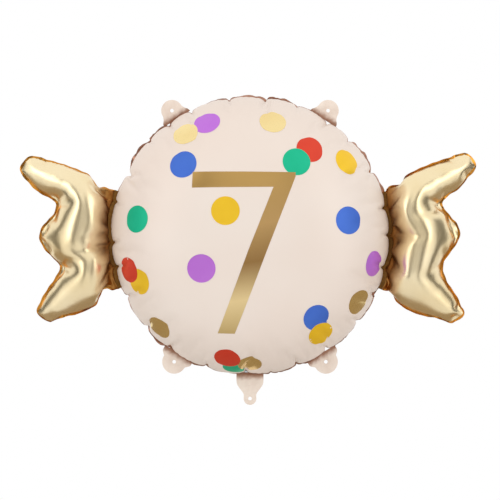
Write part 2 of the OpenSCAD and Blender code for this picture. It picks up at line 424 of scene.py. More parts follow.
@dataclass
class Pillow:
    """Two equal films that share their outline, and the weld outside it.

    Attributes:
        flat: every point on the flat films; outline, front, back, then the weld's rows.
        start: a first guess at the blown-up places, in the same order.
        front: triangles of the front film.
        back: triangles of the back film.
        weld: triangles of the weld.
        outline: how many points the outline has.
        gas_points: how many of the first points enclose the gas.
    """

    flat: np.ndarray
    start: np.ndarray
    front: np.ndarray
    back: np.ndarray
    weld: np.ndarray
    outline: int
    gas_points: int

    @classmethod
    def cut(
        cls,
        flat: np.ndarray,
        outline: int,
        place: Callable[[np.ndarray, float], np.ndarray],
        chain: list[int],
        closed: bool,
        weld_w: float,
        scallop: float,
    ) -> Pillow:
        """Cuts both films and the weld.

        Args:
            flat: one film's flat points, the outline first, anticlockwise.
            outline: how many of them are the outline.
            place: gives first places from flat points and a side of -1, 0 or 1.
            chain: the outline's welded points in order.
            closed: whether the weld runs all the way round.
            weld_w: the weld's width.
            scallop: length of the small bows that its edge is drawn into.

        Returns:
            The pillow, not yet blown up.
        """
        front = triangulate(flat, [list(range(outline))])
        inner = len(flat) - outline
        back = np.where(front >= outline, front + inner, front)[:, ::-1]
        film = flat[outline:]
        points = [flat, film]
        places = [place(flat[:outline], 0.0), place(film, -1.0), place(film, 1.0)]
        rows = [chain]
        count = len(flat) + inner
        ahead = np.roll(flat[chain], -1, axis=0) - np.roll(flat[chain], 1, axis=0)
        if not closed:
            ahead[0] = flat[chain[1]] - flat[chain[0]]
            ahead[-1] = flat[chain[-1]] - flat[chain[-2]]
        ahead /= np.linalg.norm(ahead, axis=1, keepdims=True)
        outward = np.stack([ahead[:, 1], -ahead[:, 0]], axis=1)
        steps = np.linalg.norm(np.diff(flat[chain], axis=0), axis=1)
        length = np.concatenate([[0.0], np.cumsum(steps)])
        bows = max(1, round(length[-1] / scallop))
        bow = 0.5 + 0.5 * np.abs(np.sin(length / length[-1] * bows * math.pi))
        for share in (0.5, 1.0):
            row = flat[chain] + outward * (weld_w * share * bow)[:, None]
            points.append(row)
            places.append(place(row, 0.0))
            rows.append(list(range(count, count + len(chain))))
            count += len(chain)
        weld = []
        for low, high in zip(rows, rows[1:]):
            last = len(chain) if closed else len(chain) - 1
            for k in range(last):
                n = (k + 1) % len(chain)
                weld += [(low[k], high[k], low[n]), (high[k], high[n], low[n])]
        gas = len(flat) + inner
        return cls(
            np.vstack(points), np.vstack(places), front, back, np.array(weld), outline, gas
        )

    def blow_up(self, name: str, fill: GasFill, held: dict[int, np.ndarray]) -> np.ndarray:
        """Runs the cloth solver on the pillow.

        Args:
            name: what to call the pillow in the log.
            fill: how the foil and the gas behave.
            held: places that some points are sewn to.

        Returns:
            The blown-up places of every point.
        """
        size = MM * fill.scale
        count = len(self.flat)
        anchors = np.array(list(held.values())).reshape(-1, 3)
        threads = [(i, count + k) for k, i in enumerate(held)]
        faces = np.vstack([self.front, self.back, self.weld])
        mesh = bpy.data.meshes.new(name)
        first = np.vstack([self.start, anchors]) * size
        mesh.from_pydata(first.tolist(), threads, faces.tolist())
        pillow = bpy.data.objects.new(name, mesh)
        scene = bpy.context.scene
        scene.collection.objects.link(pillow)
        self.key_cut_size(pillow, anchors, size, fill.ramp)
        self.add_groups(pillow, count, len(anchors), fill.seam_reach)
        cloth = self.add_cloth(pillow, fill, bool(held))
        before = scene.frame_start, scene.frame_end
        scene.frame_start, scene.frame_end = 1, fill.frames
        cloth.point_cache.frame_start, cloth.point_cache.frame_end = 1, fill.frames
        for frame in range(1, fill.frames + 1):
            scene.frame_set(frame)
        graph = bpy.context.evaluated_depsgraph_get()
        result = pillow.evaluated_get(graph).data
        blown = np.zeros(len(result.vertices) * 3)
        result.vertices.foreach_get("co", blown)
        action = mesh.shape_keys.animation_data.action
        bpy.data.objects.remove(pillow)
        bpy.data.meshes.remove(mesh)
        bpy.data.actions.remove(action)
        scene.frame_set(1)
        scene.frame_start, scene.frame_end = before
        blown = blown.reshape(-1, 3)[:count] / size
        LOG.info("%s blown up: %.0f x %.0f x %.0f mm", name, *np.ptp(blown, axis=0))
        return blown

    def key_cut_size(
        self, pillow: bpy.types.Object, anchors: np.ndarray, size: float, ramp: int
    ) -> None:
        """Keys a shape that gives the solver the films' flat size to work towards.

        Args:
            pillow: the solver's object.
            anchors: places that some points are sewn to.
            size: solver units for each millimetre.
            ramp: frames until the flat size is reached.
        """
        pillow.shape_key_add(name="Basis")
        key = pillow.shape_key_add(name="cut")
        spread = np.stack([self.flat[:, 0], np.zeros(len(self.flat)), self.flat[:, 1]], axis=1)
        key.data.foreach_set("co", (np.vstack([spread, anchors]) * size).ravel())
        key.value = 0.0
        key.keyframe_insert("value", frame=1)
        key.value = 1.0
        key.keyframe_insert("value", frame=1 + ramp)

    def add_groups(
        self, pillow: bpy.types.Object, count: int, anchors: int, reach: float
    ) -> None:
        """Marks the points that hold the gas, the stiff band at the weld, and the anchors.

        Args:
            pillow: the solver's object.
            count: how many points the films and the weld have.
            anchors: how many anchors follow them.
            reach: how far in from the weld its stiffness fades.
        """
        gas = pillow.vertex_groups.new(name="gas")
        gas.add(list(range(self.gas_points)), 1.0, "REPLACE")
        pin = pillow.vertex_groups.new(name="pin")
        pin.add(list(range(count, count + anchors)), 1.0, "REPLACE")
        stiff = pillow.vertex_groups.new(name="stiff")
        edge = self.flat[: self.outline]
        for i, point in enumerate(self.flat):
            depth = np.sqrt(((edge - point) ** 2).sum(axis=1).min())
            weight = 1.0 if i < self.outline or i >= self.gas_points else 1 - depth / reach
            if weight > 0:
                stiff.add([i], min(1.0, weight), "REPLACE")

    def add_cloth(
        self, pillow: bpy.types.Object, fill: GasFill, sewn: bool
    ) -> bpy.types.ClothModifier:
        """Adds the cloth solver with the foil's settings.

        Args:
            pillow: the solver's object.
            fill: how the foil and the gas behave.
            sewn: whether some points are sewn to anchors.

        Returns:
            The solver's modifier.
        """
        cloth = pillow.modifiers.new("foil", "CLOTH")
        set_to = cloth.settings
        set_to.quality = 5
        set_to.mass = 0.1
        set_to.air_damping = 2.0
        set_to.vertex_group_structural_stiffness = "stiff"
        set_to.tension_stiffness = set_to.tension_stiffness_max = fill.tension
        set_to.compression_stiffness = fill.gather
        set_to.compression_stiffness_max = fill.seam_gather
        set_to.shear_stiffness = fill.shear
        set_to.bending_stiffness = fill.bending
        set_to.tension_damping = set_to.compression_damping = set_to.shear_damping = 5.0
        set_to.bending_damping = 0.5
        set_to.use_pressure = True
        set_to.uniform_pressure_force = fill.pressure
        set_to.vertex_group_pressure = "gas"
        set_to.use_dynamic_mesh = True
        set_to.effector_weights.gravity = 0.0
        set_to.use_sewing_springs = sewn
        if sewn:
            set_to.vertex_group_mass = "pin"
        cloth.collision_settings.use_collision = False
        return cloth


# ---- The round body ------------------------------------------------------------------


@dataclass
class RoundBody:
    """The pink round body: two round films welded at the rim.

    Attributes:
        rim_r: radius of the blown-up body at its weld.
        weld_w: width of the weld.
        scallop: length of the bows along the weld's edge.
        lean: how far the weld leans back, in degrees, and how far that swings.
        fine: size of the films' triangles at the weld.
        coarse: size of the triangles in the middle.
        band: depth at which they start to grow, and the distance over which they do.
        stray: how far a point strays from its ring, as a share of that size.
        lobes: how many puckers run round the weld.
        pucker_depth: depth of the first guess at a pucker.
        pucker_reach: how far in from the weld that guess fades out.
        relief: how much of the solved puckers the light foil keeps.
        wing_low: angle of the wings' lower root corner below the middle.
        wing_high: angle of the wings' upper root corner above the middle.
        seed: what the puckers' places are drawn from.
    """

    rim_r: float = 166.0
    weld_w: float = 5.0
    scallop: float = 21.0
    lean: tuple[float, float] = (46.0, 40.0)
    fine: float = 2.3
    coarse: float = 7.0
    band: tuple[float, float] = (25.0, 60.0)
    stray: float = 0.12
    lobes: int = 26
    pucker_depth: float = 4.0
    pucker_reach: float = 30.0
    relief: float = 0.55
    wing_low: float = 22.0
    wing_high: float = 18.0
    seed: int = 1

    def __post_init__(self) -> None:
        """Works out the flat radius and the blown-up profile, then cuts the films."""
        slope = np.linspace(0, math.pi / 2, 2001)
        root = np.sqrt(slope)
        middle = (root[1:] + root[:-1]) / 2
        run = 2 * middle / np.sqrt(np.sin(middle**2)) * np.diff(root) * self.rim_r / 2
        rise = np.sqrt(np.sin((slope[1:] + slope[:-1]) / 2)) * np.diff(slope) * self.rim_r / 2
        self.flat_run = np.concatenate([[0.0], np.cumsum(run)])
        self.height = rise.sum() - np.concatenate([[0.0], np.cumsum(rise)])
        self.reach = self.rim_r * np.sqrt(np.sin(slope))
        self.slope = slope
        self.flat_r = float(self.flat_run[-1])
        self.rim_count = 2 * round(math.pi * self.flat_r / self.fine)
        rng = random.Random(self.seed)
        self.draw_puckers(rng)
        self.pillow = self.cut(rng)
        self.blown = self.pillow.start

    def draw_puckers(self, rng: random.Random) -> None:
        """Draws the angle, depth and width of each pucker.

        Args:
            rng: the source of the draws.
        """
        shares = np.cumsum([rng.uniform(0.75, 1.25) for _ in range(self.lobes)])
        self.pucker_at = shares / shares[-1] * 2 * math.pi
        self.pucker_deep = np.array([rng.uniform(0.6, 1.1) for _ in range(self.lobes)])
        self.pucker_wide = np.array([rng.uniform(3.0, 4.5) for _ in range(self.lobes)])

    def cut(self, rng: random.Random) -> Pillow:
        """Cuts the two films, their triangles small at the weld and larger inside.

        Args:
            rng: the source of the triangles' small offsets.

        Returns:
            The body's two films and its weld.
        """
        turn = 2 * math.pi / self.rim_count
        angles = np.arange(self.rim_count) * turn
        points = [self.flat_r * np.stack([np.cos(angles), np.sin(angles)], axis=1)]
        radius = self.flat_r
        while True:
            size = triangle_size(self.fine, self.coarse, self.flat_r - radius, self.band)
            radius -= size * ROW_SHARE
            if radius < size * NEAREST:
                break
            count = round(2 * math.pi * radius / size)
            around = 2 * math.pi * (np.arange(count) + rng.random()) / count
            ring = radius * np.stack([np.cos(around), np.sin(around)], axis=1)
            stray = [[rng.uniform(-1, 1), rng.uniform(-1, 1)] for _ in range(count)]
            points.append(ring + np.array(stray) * size * self.stray)
        points.append(np.zeros((1, 2)))
        chain = list(range(self.rim_count))
        return Pillow.cut(
            np.vstack(points), self.rim_count, self.place, chain, True, self.weld_w, self.scallop
        )

    def place(self, flat: np.ndarray, side: float, puckers: float = 1.0) -> np.ndarray:
        """Gives the first blown-up places of flat points.

        Args:
            flat: points on the flat film.
            side: -1 for the front film, 1 for the back, 0 for the weld.
            puckers: share of the pucker depth; 0 gives a smooth pillow.

        Returns:
            Places on the pillow.
        """
        radius = np.linalg.norm(flat, axis=1)
        angle = np.arctan2(flat[:, 1], flat[:, 0])
        run = np.minimum(radius, self.flat_r)
        slope = np.interp(run, self.flat_run, self.slope)
        apart = np.abs((angle[:, None] - self.pucker_at + math.pi) % (2 * math.pi) - math.pi)
        dents = self.pucker_deep * np.exp(-((apart * self.rim_r / self.pucker_wide) ** 2))
        fade = np.clip(1 - (self.flat_r - run) / self.pucker_reach, 0, 1)
        dent = dents.max(axis=1) * self.pucker_depth * puckers * fade
        out = np.interp(run, self.flat_run, self.reach) - dent * np.sin(slope) + radius - run
        up = np.maximum(np.interp(run, self.flat_run, self.height) - dent * np.cos(slope), 0)
        return np.stack([out * np.cos(angle), side * up, out * np.sin(angle)], axis=1)

    def blow_up(self, fill: GasFill) -> None:
        """Fills the body with gas, then eases its puckers towards the smooth pillow.

        Args:
            fill: how the foil and the gas behave.
        """
        solved = self.pillow.blow_up("round body", fill, {})
        gas = self.pillow.gas_points
        ends = [self.rim_count, (self.rim_count + gas) // 2, gas]
        parts = np.split(self.pillow.flat, ends)
        sides = (0, -1, 1, 0)
        smooth = np.vstack([self.place(part, s, 0.0) for part, s in zip(parts, sides)])
        self.blown = smooth + (solved - smooth) * self.relief
        self.lean_weld()

    def lean_weld(self) -> None:
        """Leans the free edge of the weld back, more in some places than in others."""
        rim = np.vstack([self.blown[: self.rim_count]] * 2)
        weld = self.blown[self.pillow.gas_points :]
        out = weld - rim
        turn = np.arctan2(rim[:, 2], rim[:, 0])
        middle, swing = self.lean
        lean = np.radians(middle + swing * (0.6 * np.sin(7 * turn + 1) + 0.4 * np.sin(17 * turn)))
        back = np.linalg.norm(out, axis=1) * np.sin(lean)
        weld[:] = rim + out * np.cos(lean)[:, None]
        weld[:, 1] += back

    def sector(self, side: Side) -> list[int]:
        """Numbers the rim's points along a wing's root.

        Args:
            side: the wing's side.

        Returns:
            Point numbers from the lower corner to the upper.
        """
        step = 360 / self.rim_count
        low, high = round(-self.wing_low / step), round(self.wing_high / step)
        numbers = range(low, high + 1)
        if side is Side.LEFT:
            return [(self.rim_count // 2 - k) % self.rim_count for k in numbers]
        return [k % self.rim_count for k in numbers]

    def root_line(self, side: Side) -> np.ndarray:
        """Finds where a wing's root is held, the weld's width outside the blown-up rim.

        Args:
            side: the wing's side.

        Returns:
            Places from the lower corner to the upper.
        """
        rim = self.blown[self.sector(side)]
        out = rim * np.array([1.0, 0.0, 1.0])
        out /= np.linalg.norm(out, axis=1, keepdims=True)
        return rim + out * self.weld_w

    def film(self, faces: np.ndarray, thick: float = 0.12) -> Film:
        """A film of the blown-up body from some of its triangles."""
        return Film(self.blown, faces, self.pillow.flat, thick)

    def build(self, shop: Workshop) -> None:
        """Makes the body's two panels and its rim's weld.

        Args:
            shop: where the pieces are made.
        """
        for name, faces in (("front", self.pillow.front), ("back", self.pillow.back)):
            panel = shop.put(f"body_{name}_panel", self.film(faces), "pearl foil")
            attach(panel, "body")
        webs = set(self.sector(Side.LEFT)) | set(self.sector(Side.RIGHT))
        # the weld's rows follow the rim point by point, and the webs take the wings' sectors
        in_web = [i in webs for i in range(self.rim_count)] * 3
        offset = self.pillow.gas_points - self.rim_count
        keep = [
            not all(in_web[i if i < self.rim_count else i - offset] for i in face)
            for face in self.pillow.weld
        ]
        seal = self.film(self.pillow.weld[keep], 0.25)
        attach(shop.put("body_rim_seal", seal, "pink weld"), "body")


# ---- The wings -----------------------------------------------------------------------


@dataclass
class Wing:
    """A gold wrapper wing, welded to the round body along its root.

    The outline is that of the flat film on the right-hand side; the left wing mirrors it.

    Attributes:
        side: which side of the body it is on.
        body: the round body that it grows from.
        bottom: the flat lower edge from the root to the lower point.
        outer: the flat outer edge from the lower point to the upper point.
        top: the flat upper edge from the upper point to the root.
        fine: size of the films' triangles at the weld.
        coarse: size of the triangles inside.
        band: depth at which they start to grow, and the distance over which they do.
        row_band: the same for the distance between their rows.
        row_share: that distance as a share of their size.
        weld_w: width of the weld.
        scallop: length of the bows along the weld's edge.
        calm: how many rounds even out its finest crumples.
        bend: how far inside the web's outer edge the wing would start to bend, and over what
        length it would go on; not used.
        shrink: how far the first guess at the blown-up wing is drawn in.
        bulge: how far that guess stands out.
        bulge_from: how far inside the root it starts to stand out, and over what length.
        seed: what the triangles' small offsets are drawn from.
    """

    side: Side
    body: RoundBody
    bottom: tuple[Point, ...] = ((261, -106), (297, -115), (316, -119))
    tip_low: Point = (332, -108)
    outer: tuple[Point, ...] = ((327, -84), (318, -45), (335, 2), (317, 43), (333, 72))
    tip_high: Point = (345, 102)
    top: tuple[Point, ...] = ((330, 115), (301, 107), (262, 92))
    fine: float = 2.3
    coarse: float = 4.5
    band: tuple[float, float] = (10.0, 25.0)
    row_band: tuple[float, float] = (12.0, 25.0)
    row_share: float = 0.88
    weld_w: float = 6.0
    scallop: float = 15.0
    calm: int = 5
    bend: tuple[float, float] = (14.0, 34.0)
    shrink: float = 0.8
    bulge: float = 8.0
    bulge_from: tuple[float, float] = (20.0, 110.0)
    seed: int = 3

    def __post_init__(self) -> None:
        """Lays out the flat edges and cuts the films."""
        body = self.body
        root_r = body.flat_r + body.weld_w
        self.root_numbers = body.sector(self.side)
        step = 2 * math.pi / body.rim_count
        low = round(-body.wing_low / 360 * body.rim_count)
        angles = (low + np.arange(len(self.root_numbers))) * step
        self.root = root_r * np.stack([np.cos(angles), np.sin(angles)], axis=1)
        first, last = tuple(self.root[0]), tuple(self.root[-1])
        self.edges = {
            "bottom": smooth_curve([first, *self.bottom, self.tip_low]),
            "outer": smooth_curve([self.tip_low, *self.outer, self.tip_high]),
            "top": smooth_curve([self.tip_high, *self.top, last]),
            "root": along(self.root),
        }
        self.pillow = self.cut(random.Random(self.seed))
        self.blown = self.pillow.start

    def patch(self, u: float, v: float) -> np.ndarray:
        """Finds a flat point of the wing.

        Args:
            u: share of the way out from the root.
            v: share of the way up.

        Returns:
            The point, blended from the four edges.
        """
        low, high = self.edges["bottom"](u), self.edges["top"](1 - u)
        root, outer = self.edges["root"](v), self.edges["outer"](v)
        corners = (
            (1 - u) * (1 - v) * self.edges["root"](0)
            + (1 - u) * v * self.edges["root"](1)
            + u * (1 - v) * self.edges["outer"](0)
            + u * v * self.edges["outer"](1)
        )
        return (1 - u) * root + u * outer + (1 - v) * low + v * high - corners

    def cut(self, rng: random.Random) -> Pillow:
        """Cuts the two films, the root's points last along the outline.

        Args:
            rng: the source of the triangles' small offsets.

        Returns:
            The wing's two films and its weld.
        """
        edges = self.edges
        outline = [
            edges[name](t)
            for name in ("bottom", "outer", "top")
            for t in even_steps(edges[name], self.fine)
        ]
        # the outline goes round anticlockwise and comes back down the root
        border = np.vstack([outline, self.root[::-1][:-1]])
        welded = len(outline)

        def size(point: np.ndarray) -> float:
            """The size of the triangles at a flat point."""
            depth = float(np.sqrt(((border - point) ** 2).sum(axis=1).min()))
            return triangle_size(self.fine, self.coarse, depth, self.band)

        inner = []
        width = float(np.linalg.norm(self.patch(1, 0.5) - self.patch(0, 0.5)))
        u = 0.0
        while True:
            row_size = triangle_size(self.fine, self.coarse, min(u, 1 - u) * width, self.row_band)
            u += row_size * self.row_share / width
            if u > 1 - self.fine * 0.5 / width:
                break
            row = along(np.array([self.patch(u, k / 60) for k in range(61)]))
            for t in march(row, size, rng.uniform(0.5, 1.0)):
                point = row(t)
                if np.sqrt(((border - point) ** 2).sum(axis=1).min()) > self.fine * NEAREST:
                    inner.append(point)
        flat = np.vstack([border, inner])
        self.root_points = [0, *range(len(border) - 1, welded, -1), welded]
        chain = list(range(welded + 1))
        mirror = np.array([self.side.value, 1.0])
        if self.side is Side.LEFT:
            # a mirrored outline runs clockwise, so it is turned round
            order = np.r_[np.arange(len(border))[::-1], np.arange(len(border), len(flat))]
            flat = flat[order]
            last = len(border) - 1
            chain = [last - k for k in chain][::-1]
            self.root_points = [last - k for k in self.root_points]
        return Pillow.cut(
            flat * mirror, len(border), self.place, chain, False, self.weld_w, self.scallop
        )

    def place(self, flat: np.ndarray, side: float) -> np.ndarray:
        """Gives the first blown-up places of flat points.

        Args:
            flat: points on the flat film.
            side: -1 for the front film, 1 for the back, 0 for the weld.

        Returns:
            Places on a thin, slightly shrunken wing.
        """
        rim = self.body.rim_r + self.body.weld_w
        out = np.abs(flat[:, 0]) - self.body.flat_r - self.body.weld_w
        start, length = self.bulge_from
        bulge = self.bulge * np.sin(np.clip((out + start) / length, 0, 1) * math.pi)
        x = (rim + out * self.shrink) * self.side.value
        return np.stack([x, side * bulge, flat[:, 1] * self.shrink], axis=1)

    def blow_up(self, fill: GasFill) -> None:
        """Fills the wing with gas, its root held by the round body's weld.

        Args:
            fill: how the foil and the gas behave.
        """
        line = self.body.root_line(self.side)
        held = dict(zip(self.root_points, line))
        solved = self.pillow.blow_up(f"{self.side.word} wing", fill, held)
        faces = np.vstack([self.pillow.front, self.pillow.back, self.pillow.weld])
        self.blown = calmed(solved, faces, self.root_points, self.calm)

    def build(self, shop: Workshop) -> None:
        """Makes the wing's panels, its weld and the web that joins it to the body.

        Args:
            shop: where the pieces are made.
        """
        wing = f"{self.side.word}_wing"
        pillow = self.pillow
        flat = pillow.flat
        films = {
            "front_panel": (Film(self.blown, pillow.front, flat), "gold foil"),
            "back_panel": (Film(self.blown, pillow.back, flat), "gold foil"),
            "rim_seal": (Film(self.blown, pillow.weld, flat, 0.25), "gold weld"),
            # the web's finish carries painted shade for the gap between the body and the wing
            "web": (self.web(), "gold web"),
        }
        for part, (film, finish) in films.items():
            piece = shop.put(f"{wing}_{part}", film, finish)
            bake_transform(piece)

    def web(self, rows: int = 4) -> Film:
        """Joins the round body's rim to the wing's root with a welded strip.

        Args:
            rows: how many rows of triangles it has.

        Returns:
            The strip.
        """
        near = self.body.blown[self.root_numbers]
        far = self.blown[self.root_points]
        near_flat = self.body.pillow.flat[self.root_numbers]
        far_flat = self.pillow.flat[self.root_points]
        shares = np.linspace(0, 1, rows + 1)
        points = np.vstack([near + (far - near) * s for s in shares])
        flat = np.vstack([near_flat + (far_flat - near_flat) * s for s in shares])
        count = len(near)
        faces = []
        for row in range(rows):
            for k in range(count - 1):
                a, b = row * count + k, (row + 1) * count + k
                faces += [(a, b, a + 1), (b, b + 1, a + 1)]
        faces = np.array(faces)
        if self.side is Side.LEFT:
            faces = faces[:, ::-1]
        return Film(points, faces, flat, 0.3)


# ---- Print ---------------------------------------------------------------------------


@dataclass(frozen=True)
class Dot:
    """A round printed dot, in places on the flat film.

    Attributes:
        x: distance right of the middle.
        z: height above the middle.
        radius: the dot's radius.
        level: a dot of a higher level is printed over the ones below it.
    """

    x: float
    z: float
    radius: float = 17.0
    level: int = 1

    def ring(self, count: int = 72) -> np.ndarray:
        """Lays points round the dot's edge.

        Args:
            count: how many points.

        Returns:
            A closed ring of points.
        """
        around = np.arange(count) * 2 * math.pi / count
        ring = np.stack([np.cos(around), np.sin(around)], axis=1)
        return np.array([self.x, self.z]) + self.radius * ring

    def holds(self, points: np.ndarray) -> np.ndarray:
        """Which of the points lie inside the dot."""
        return np.hypot(points[:, 0] - self.x, points[:, 1] - self.z) < self.radius


class Ink(Enum):
    """The print's colours, each with its node's and its slot's last word."""

    RED = "red"
    BLUE = "blue"
    GREEN = "green"
    YELLOW = "yellow"
    PURPLE = "purple"
    GOLD = "gold"


@dataclass
class Artwork:
    """The number and the dots, printed on the body's two films.

    Attributes:
        number: corners of the number on the flat film.
        lift: how far the print stands off the foil.
        edge_gap: how near to the print's edge the foil's own points are used.
    """

    number: tuple[Point, ...] = (
        (-68.7, 76.1),
        (-69.2, 56.8),
        (27.9, 57.3),
        (-1.9, -17.5),
        (-39.5, -120),
        (-18.7, -120),
        (20.2, -17.5),
        (54.4, 70.1),
        (54.5, 75.1),
    )
    lift: float = 0.15
    edge_gap: float = 1.2

    def __post_init__(self) -> None:
        """Lays out the dots of each ink."""
        self.dots: dict[Ink, tuple[Dot, ...]] = {
            Ink.GOLD: (
                Dot(-82.4, 130.8, 17, 3),
                Dot(28.9, 143.7),
                Dot(-121.7, -123.8),
                Dot(-0.7, -173.2, 17, 3),
                Dot(143.4, -88.4),
            ),
            Ink.PURPLE: (Dot(-54.9, 144.5), Dot(-57.7, -39.4), Dot(164.1, -37.1)),
            Ink.BLUE: (Dot(-81.3, 86.4), Dot(120.4, 18.1), Dot(82.1, -101.7)),
            Ink.GREEN: (Dot(-142.4, 20.5), Dot(56.1, 88.5, 17, 2), Dot(-21.1, -182.4)),
            Ink.YELLOW: (
                Dot(-29, 29),
                Dot(124.7, 94.5),
                Dot(-142.5, -59.5),
                Dot(91.1, -126.5, 17, 2),
            ),
            Ink.RED: (Dot(73.6, 105.6), Dot(-160, -45.8, 17, 2), Dot(-30.3, -161, 17, 4)),
        }

    def over(self, dot: Dot) -> list[Dot]:
        """Finds what is printed over a dot.

        Args:
            dot: the dot below.

        Returns:
            The dots of a higher level that reach it.
        """
        return [
            other
            for group in self.dots.values()
            for other in group
            if other.level > dot.level
            and math.hypot(other.x - dot.x, other.z - dot.z) < other.radius + dot.radius
        ]

    def straight(self, corners: tuple[Point, ...], step: float = 2.0) -> np.ndarray:
        """Lays points along straight edges.

        Args:
            corners: the corners that the edges join.
            step: how far apart the points are.

        Returns:
            A closed ring of points.
        """
        corners = [np.array(c) for c in corners]
        points = []
        for a, b in zip(corners, corners[1:] + corners[:1]):
            count = max(2, round(float(np.linalg.norm(b - a)) / step))
            points += [a + (b - a) * k / count for k in range(count)]
        return np.array(points)

    def layer(self, surface: Surface, ring: np.ndarray, cuts: list[np.ndarray]) -> Film | None:
        """Cuts one printed shape out of a film and lifts it off the foil.

        Args:
            surface: the film that it is printed on.
            ring: the shape's edge on the flat film.
            cuts: edges of the shapes printed over it.

        Returns:
            The printed layer, or None where nothing of it is left.
        """
        near = surface.near(ring)
        points = [ring]
        loops = [list(range(len(ring)))]
        count = len(ring)
        for cut in cuts:
            points.append(cut)
            loops.append(list(range(count, count + len(cut))))
            count += len(cut)
        edges = np.vstack(points)
        gap = np.sqrt(((near[:, None] - edges[None]) ** 2).sum(axis=2)).min(axis=1)
        clear = near[gap > self.edge_gap]
        flat = np.vstack([edges, clear])
        links = [(a, b) for loop in loops for a, b in zip(loop, loop[1:] + loop[:1])]
        found = delaunay_2d_cdt([Vector(p) for p in flat], links, [], 0, 1e-5)
        flat = np.array([tuple(p) for p in found[0]])
        faces = np.array(found[2])
        middles = flat[faces].mean(axis=1)
        keep = [
            inside(m, ring) and not any(inside(m, cut) for cut in cuts) and surface.covers(m)
            for m in middles
        ]
        faces = faces[keep]
        if len(faces) == 0:
            return None
        return Film(surface.lift(flat, self.lift), faces, flat, 0.05)

    def build(self, shop: Workshop, body: RoundBody) -> None:
        """Prints the number and the dots on the front and the back.

        Args:
            shop: where the pieces are made.
            body: the round body.
        """
        surfaces = [Surface(body, body.pillow.front, 1), Surface(body, body.pillow.back, -1)]
        number = self.straight(self.number)
        films = [s.film_of([self.layer(s, s.turned(number), [])]) for s in surfaces]
        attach(shop.put("number_print", join(films), "number foil"), "body")
        for ink, dots in self.dots.items():
            films = []
            for surface in surfaces:
                layers = []
                for dot in dots:
                    cuts = [surface.turned(other.ring()) for other in self.over(dot)]
                    if np.any(dot.holds(number)):
                        cuts.append(surface.turned(number))
                    layers.append(self.layer(surface, surface.turned(dot.ring()), cuts))
                films.append(surface.film_of(layers))
            name = f"dots_{ink.value}"
            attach(shop.put(name, join(films), name, "print"), "body")


def join(films: list[Film]) -> Film:
    """Puts several films into one.

    Args:
        films: the films; the first gives the thickness.

    Returns:
        One film with all their faces.
    """
    shift = np.cumsum([0] + [len(f.points) for f in films[:-1]])
    return Film(
        np.vstack([f.points for f in films]),
        np.vstack([f.faces + s for f, s in zip(films, shift)]),
        np.vstack([f.flat for f in films]),
        films[0].thick,
    )


class Surface:
    """A blown-up film that flat shapes can be laid on."""

    def __init__(self, body: RoundBody, faces: np.ndarray, turn: int) -> None:
        """Builds the search tree of a film.

        Args:
            body: the round body.
            faces: the film's triangles.
            turn: 1 for the front; -1 for the back, whose print is mirrored to be read.
        """
        self.turn = turn
        self.points = body.blown
        self.flat = body.pillow.flat
        self.faces = faces
        self.limit = body.flat_r - 0.5
        self.normals = normals_of(self.points, faces)
        self.inner = np.unique(faces)
        flat_points = [(p[0], p[1], 0.0) for p in self.flat]
        self.tree = BVHTree.FromPolygons(flat_points, faces.tolist())

    def turned(self, ring: np.ndarray) -> np.ndarray:
        """Mirrors a shape where the surface is the back."""
        return ring if self.turn > 0 else (ring * [-1, 1])[::-1]

    def covers(self, point: np.ndarray) -> bool:
        """Tells whether a flat point lies on the film, inside the weld."""
        return math.hypot(point[0], point[1]) < self.limit

    def near(self, ring: np.ndarray) -> np.ndarray:
        """Finds the film's own flat points inside a shape.

        Args:
            ring: the shape's edge on the flat film.

        Returns:
            The flat points.
        """
        low, high = ring.min(axis=0), ring.max(axis=0)
        flat = self.flat[self.inner]
        box = np.all((flat > low) & (flat < high), axis=1)
        return np.array([p for p in flat[box] if inside(p, ring)]).reshape(-1, 2)

    def lift(self, flat: np.ndarray, by: float) -> np.ndarray:
        """Finds the places of flat points, a little off the foil.

        Args:
            flat: the flat points; those past the weld are drawn in to it.
            by: how far off the foil.

        Returns:
            The places, one row each.
        """
        places = []
        for x, z in flat:
            reach = math.hypot(x, z)
            if reach > self.limit:
                x, z = x * self.limit / reach, z * self.limit / reach
            hit, _, number, _ = self.tree.find_nearest(Vector((x, z, 0.0)))
            a, b, c = self.faces[number]
            weights = self.weights(np.array([hit.x, hit.y]), a, b, c)
            ends, normals = self.points[[a, b, c]], self.normals[[a, b, c]]
            place = weights @ ends
            # the corners' normals round the triangle, so that edges lie on a curved foil
            above = ((place - ends) * normals).sum(axis=1)
            place = place - ROUNDING * weights @ (above[:, None] * normals)
            places.append(place + by * (weights @ normals))
        return np.array(places)

    def weights(self, p: np.ndarray, a: int, b: int, c: int) -> np.ndarray:
        """Works out how much of each corner of a triangle makes up a flat point.

        Args:
            p: the flat point.
            a: number of the first corner.
            b: number of the second corner.
            c: number of the third corner.

        Returns:
            Three shares that add up to 1.
        """
        edge_b, edge_c = self.flat[b] - self.flat[a], self.flat[c] - self.flat[a]
        area = edge_b[0] * edge_c[1] - edge_b[1] * edge_c[0]
        to_p = p - self.flat[a]
        share_b = (to_p[0] * edge_c[1] - to_p[1] * edge_c[0]) / area
        share_c = (edge_b[0] * to_p[1] - edge_b[1] * to_p[0]) / area
        return np.array([1 - share_b - share_c, share_b, share_c])

    def film_of(self, layers: list[Film | None]) -> Film:
        """Joins printed layers and turns their faces outward.

        Args:
            layers: the layers on this surface, None where nothing was left.

        Returns:
            One film.
        """
        film = join([layer for layer in layers if layer is not None])
        faces = film.faces if self.turn > 0 else film.faces[:, ::-1]
        return Film(film.points, faces, film.flat, film.thick)


# ---- Tabs, tail and valve ------------------------------------------------------------


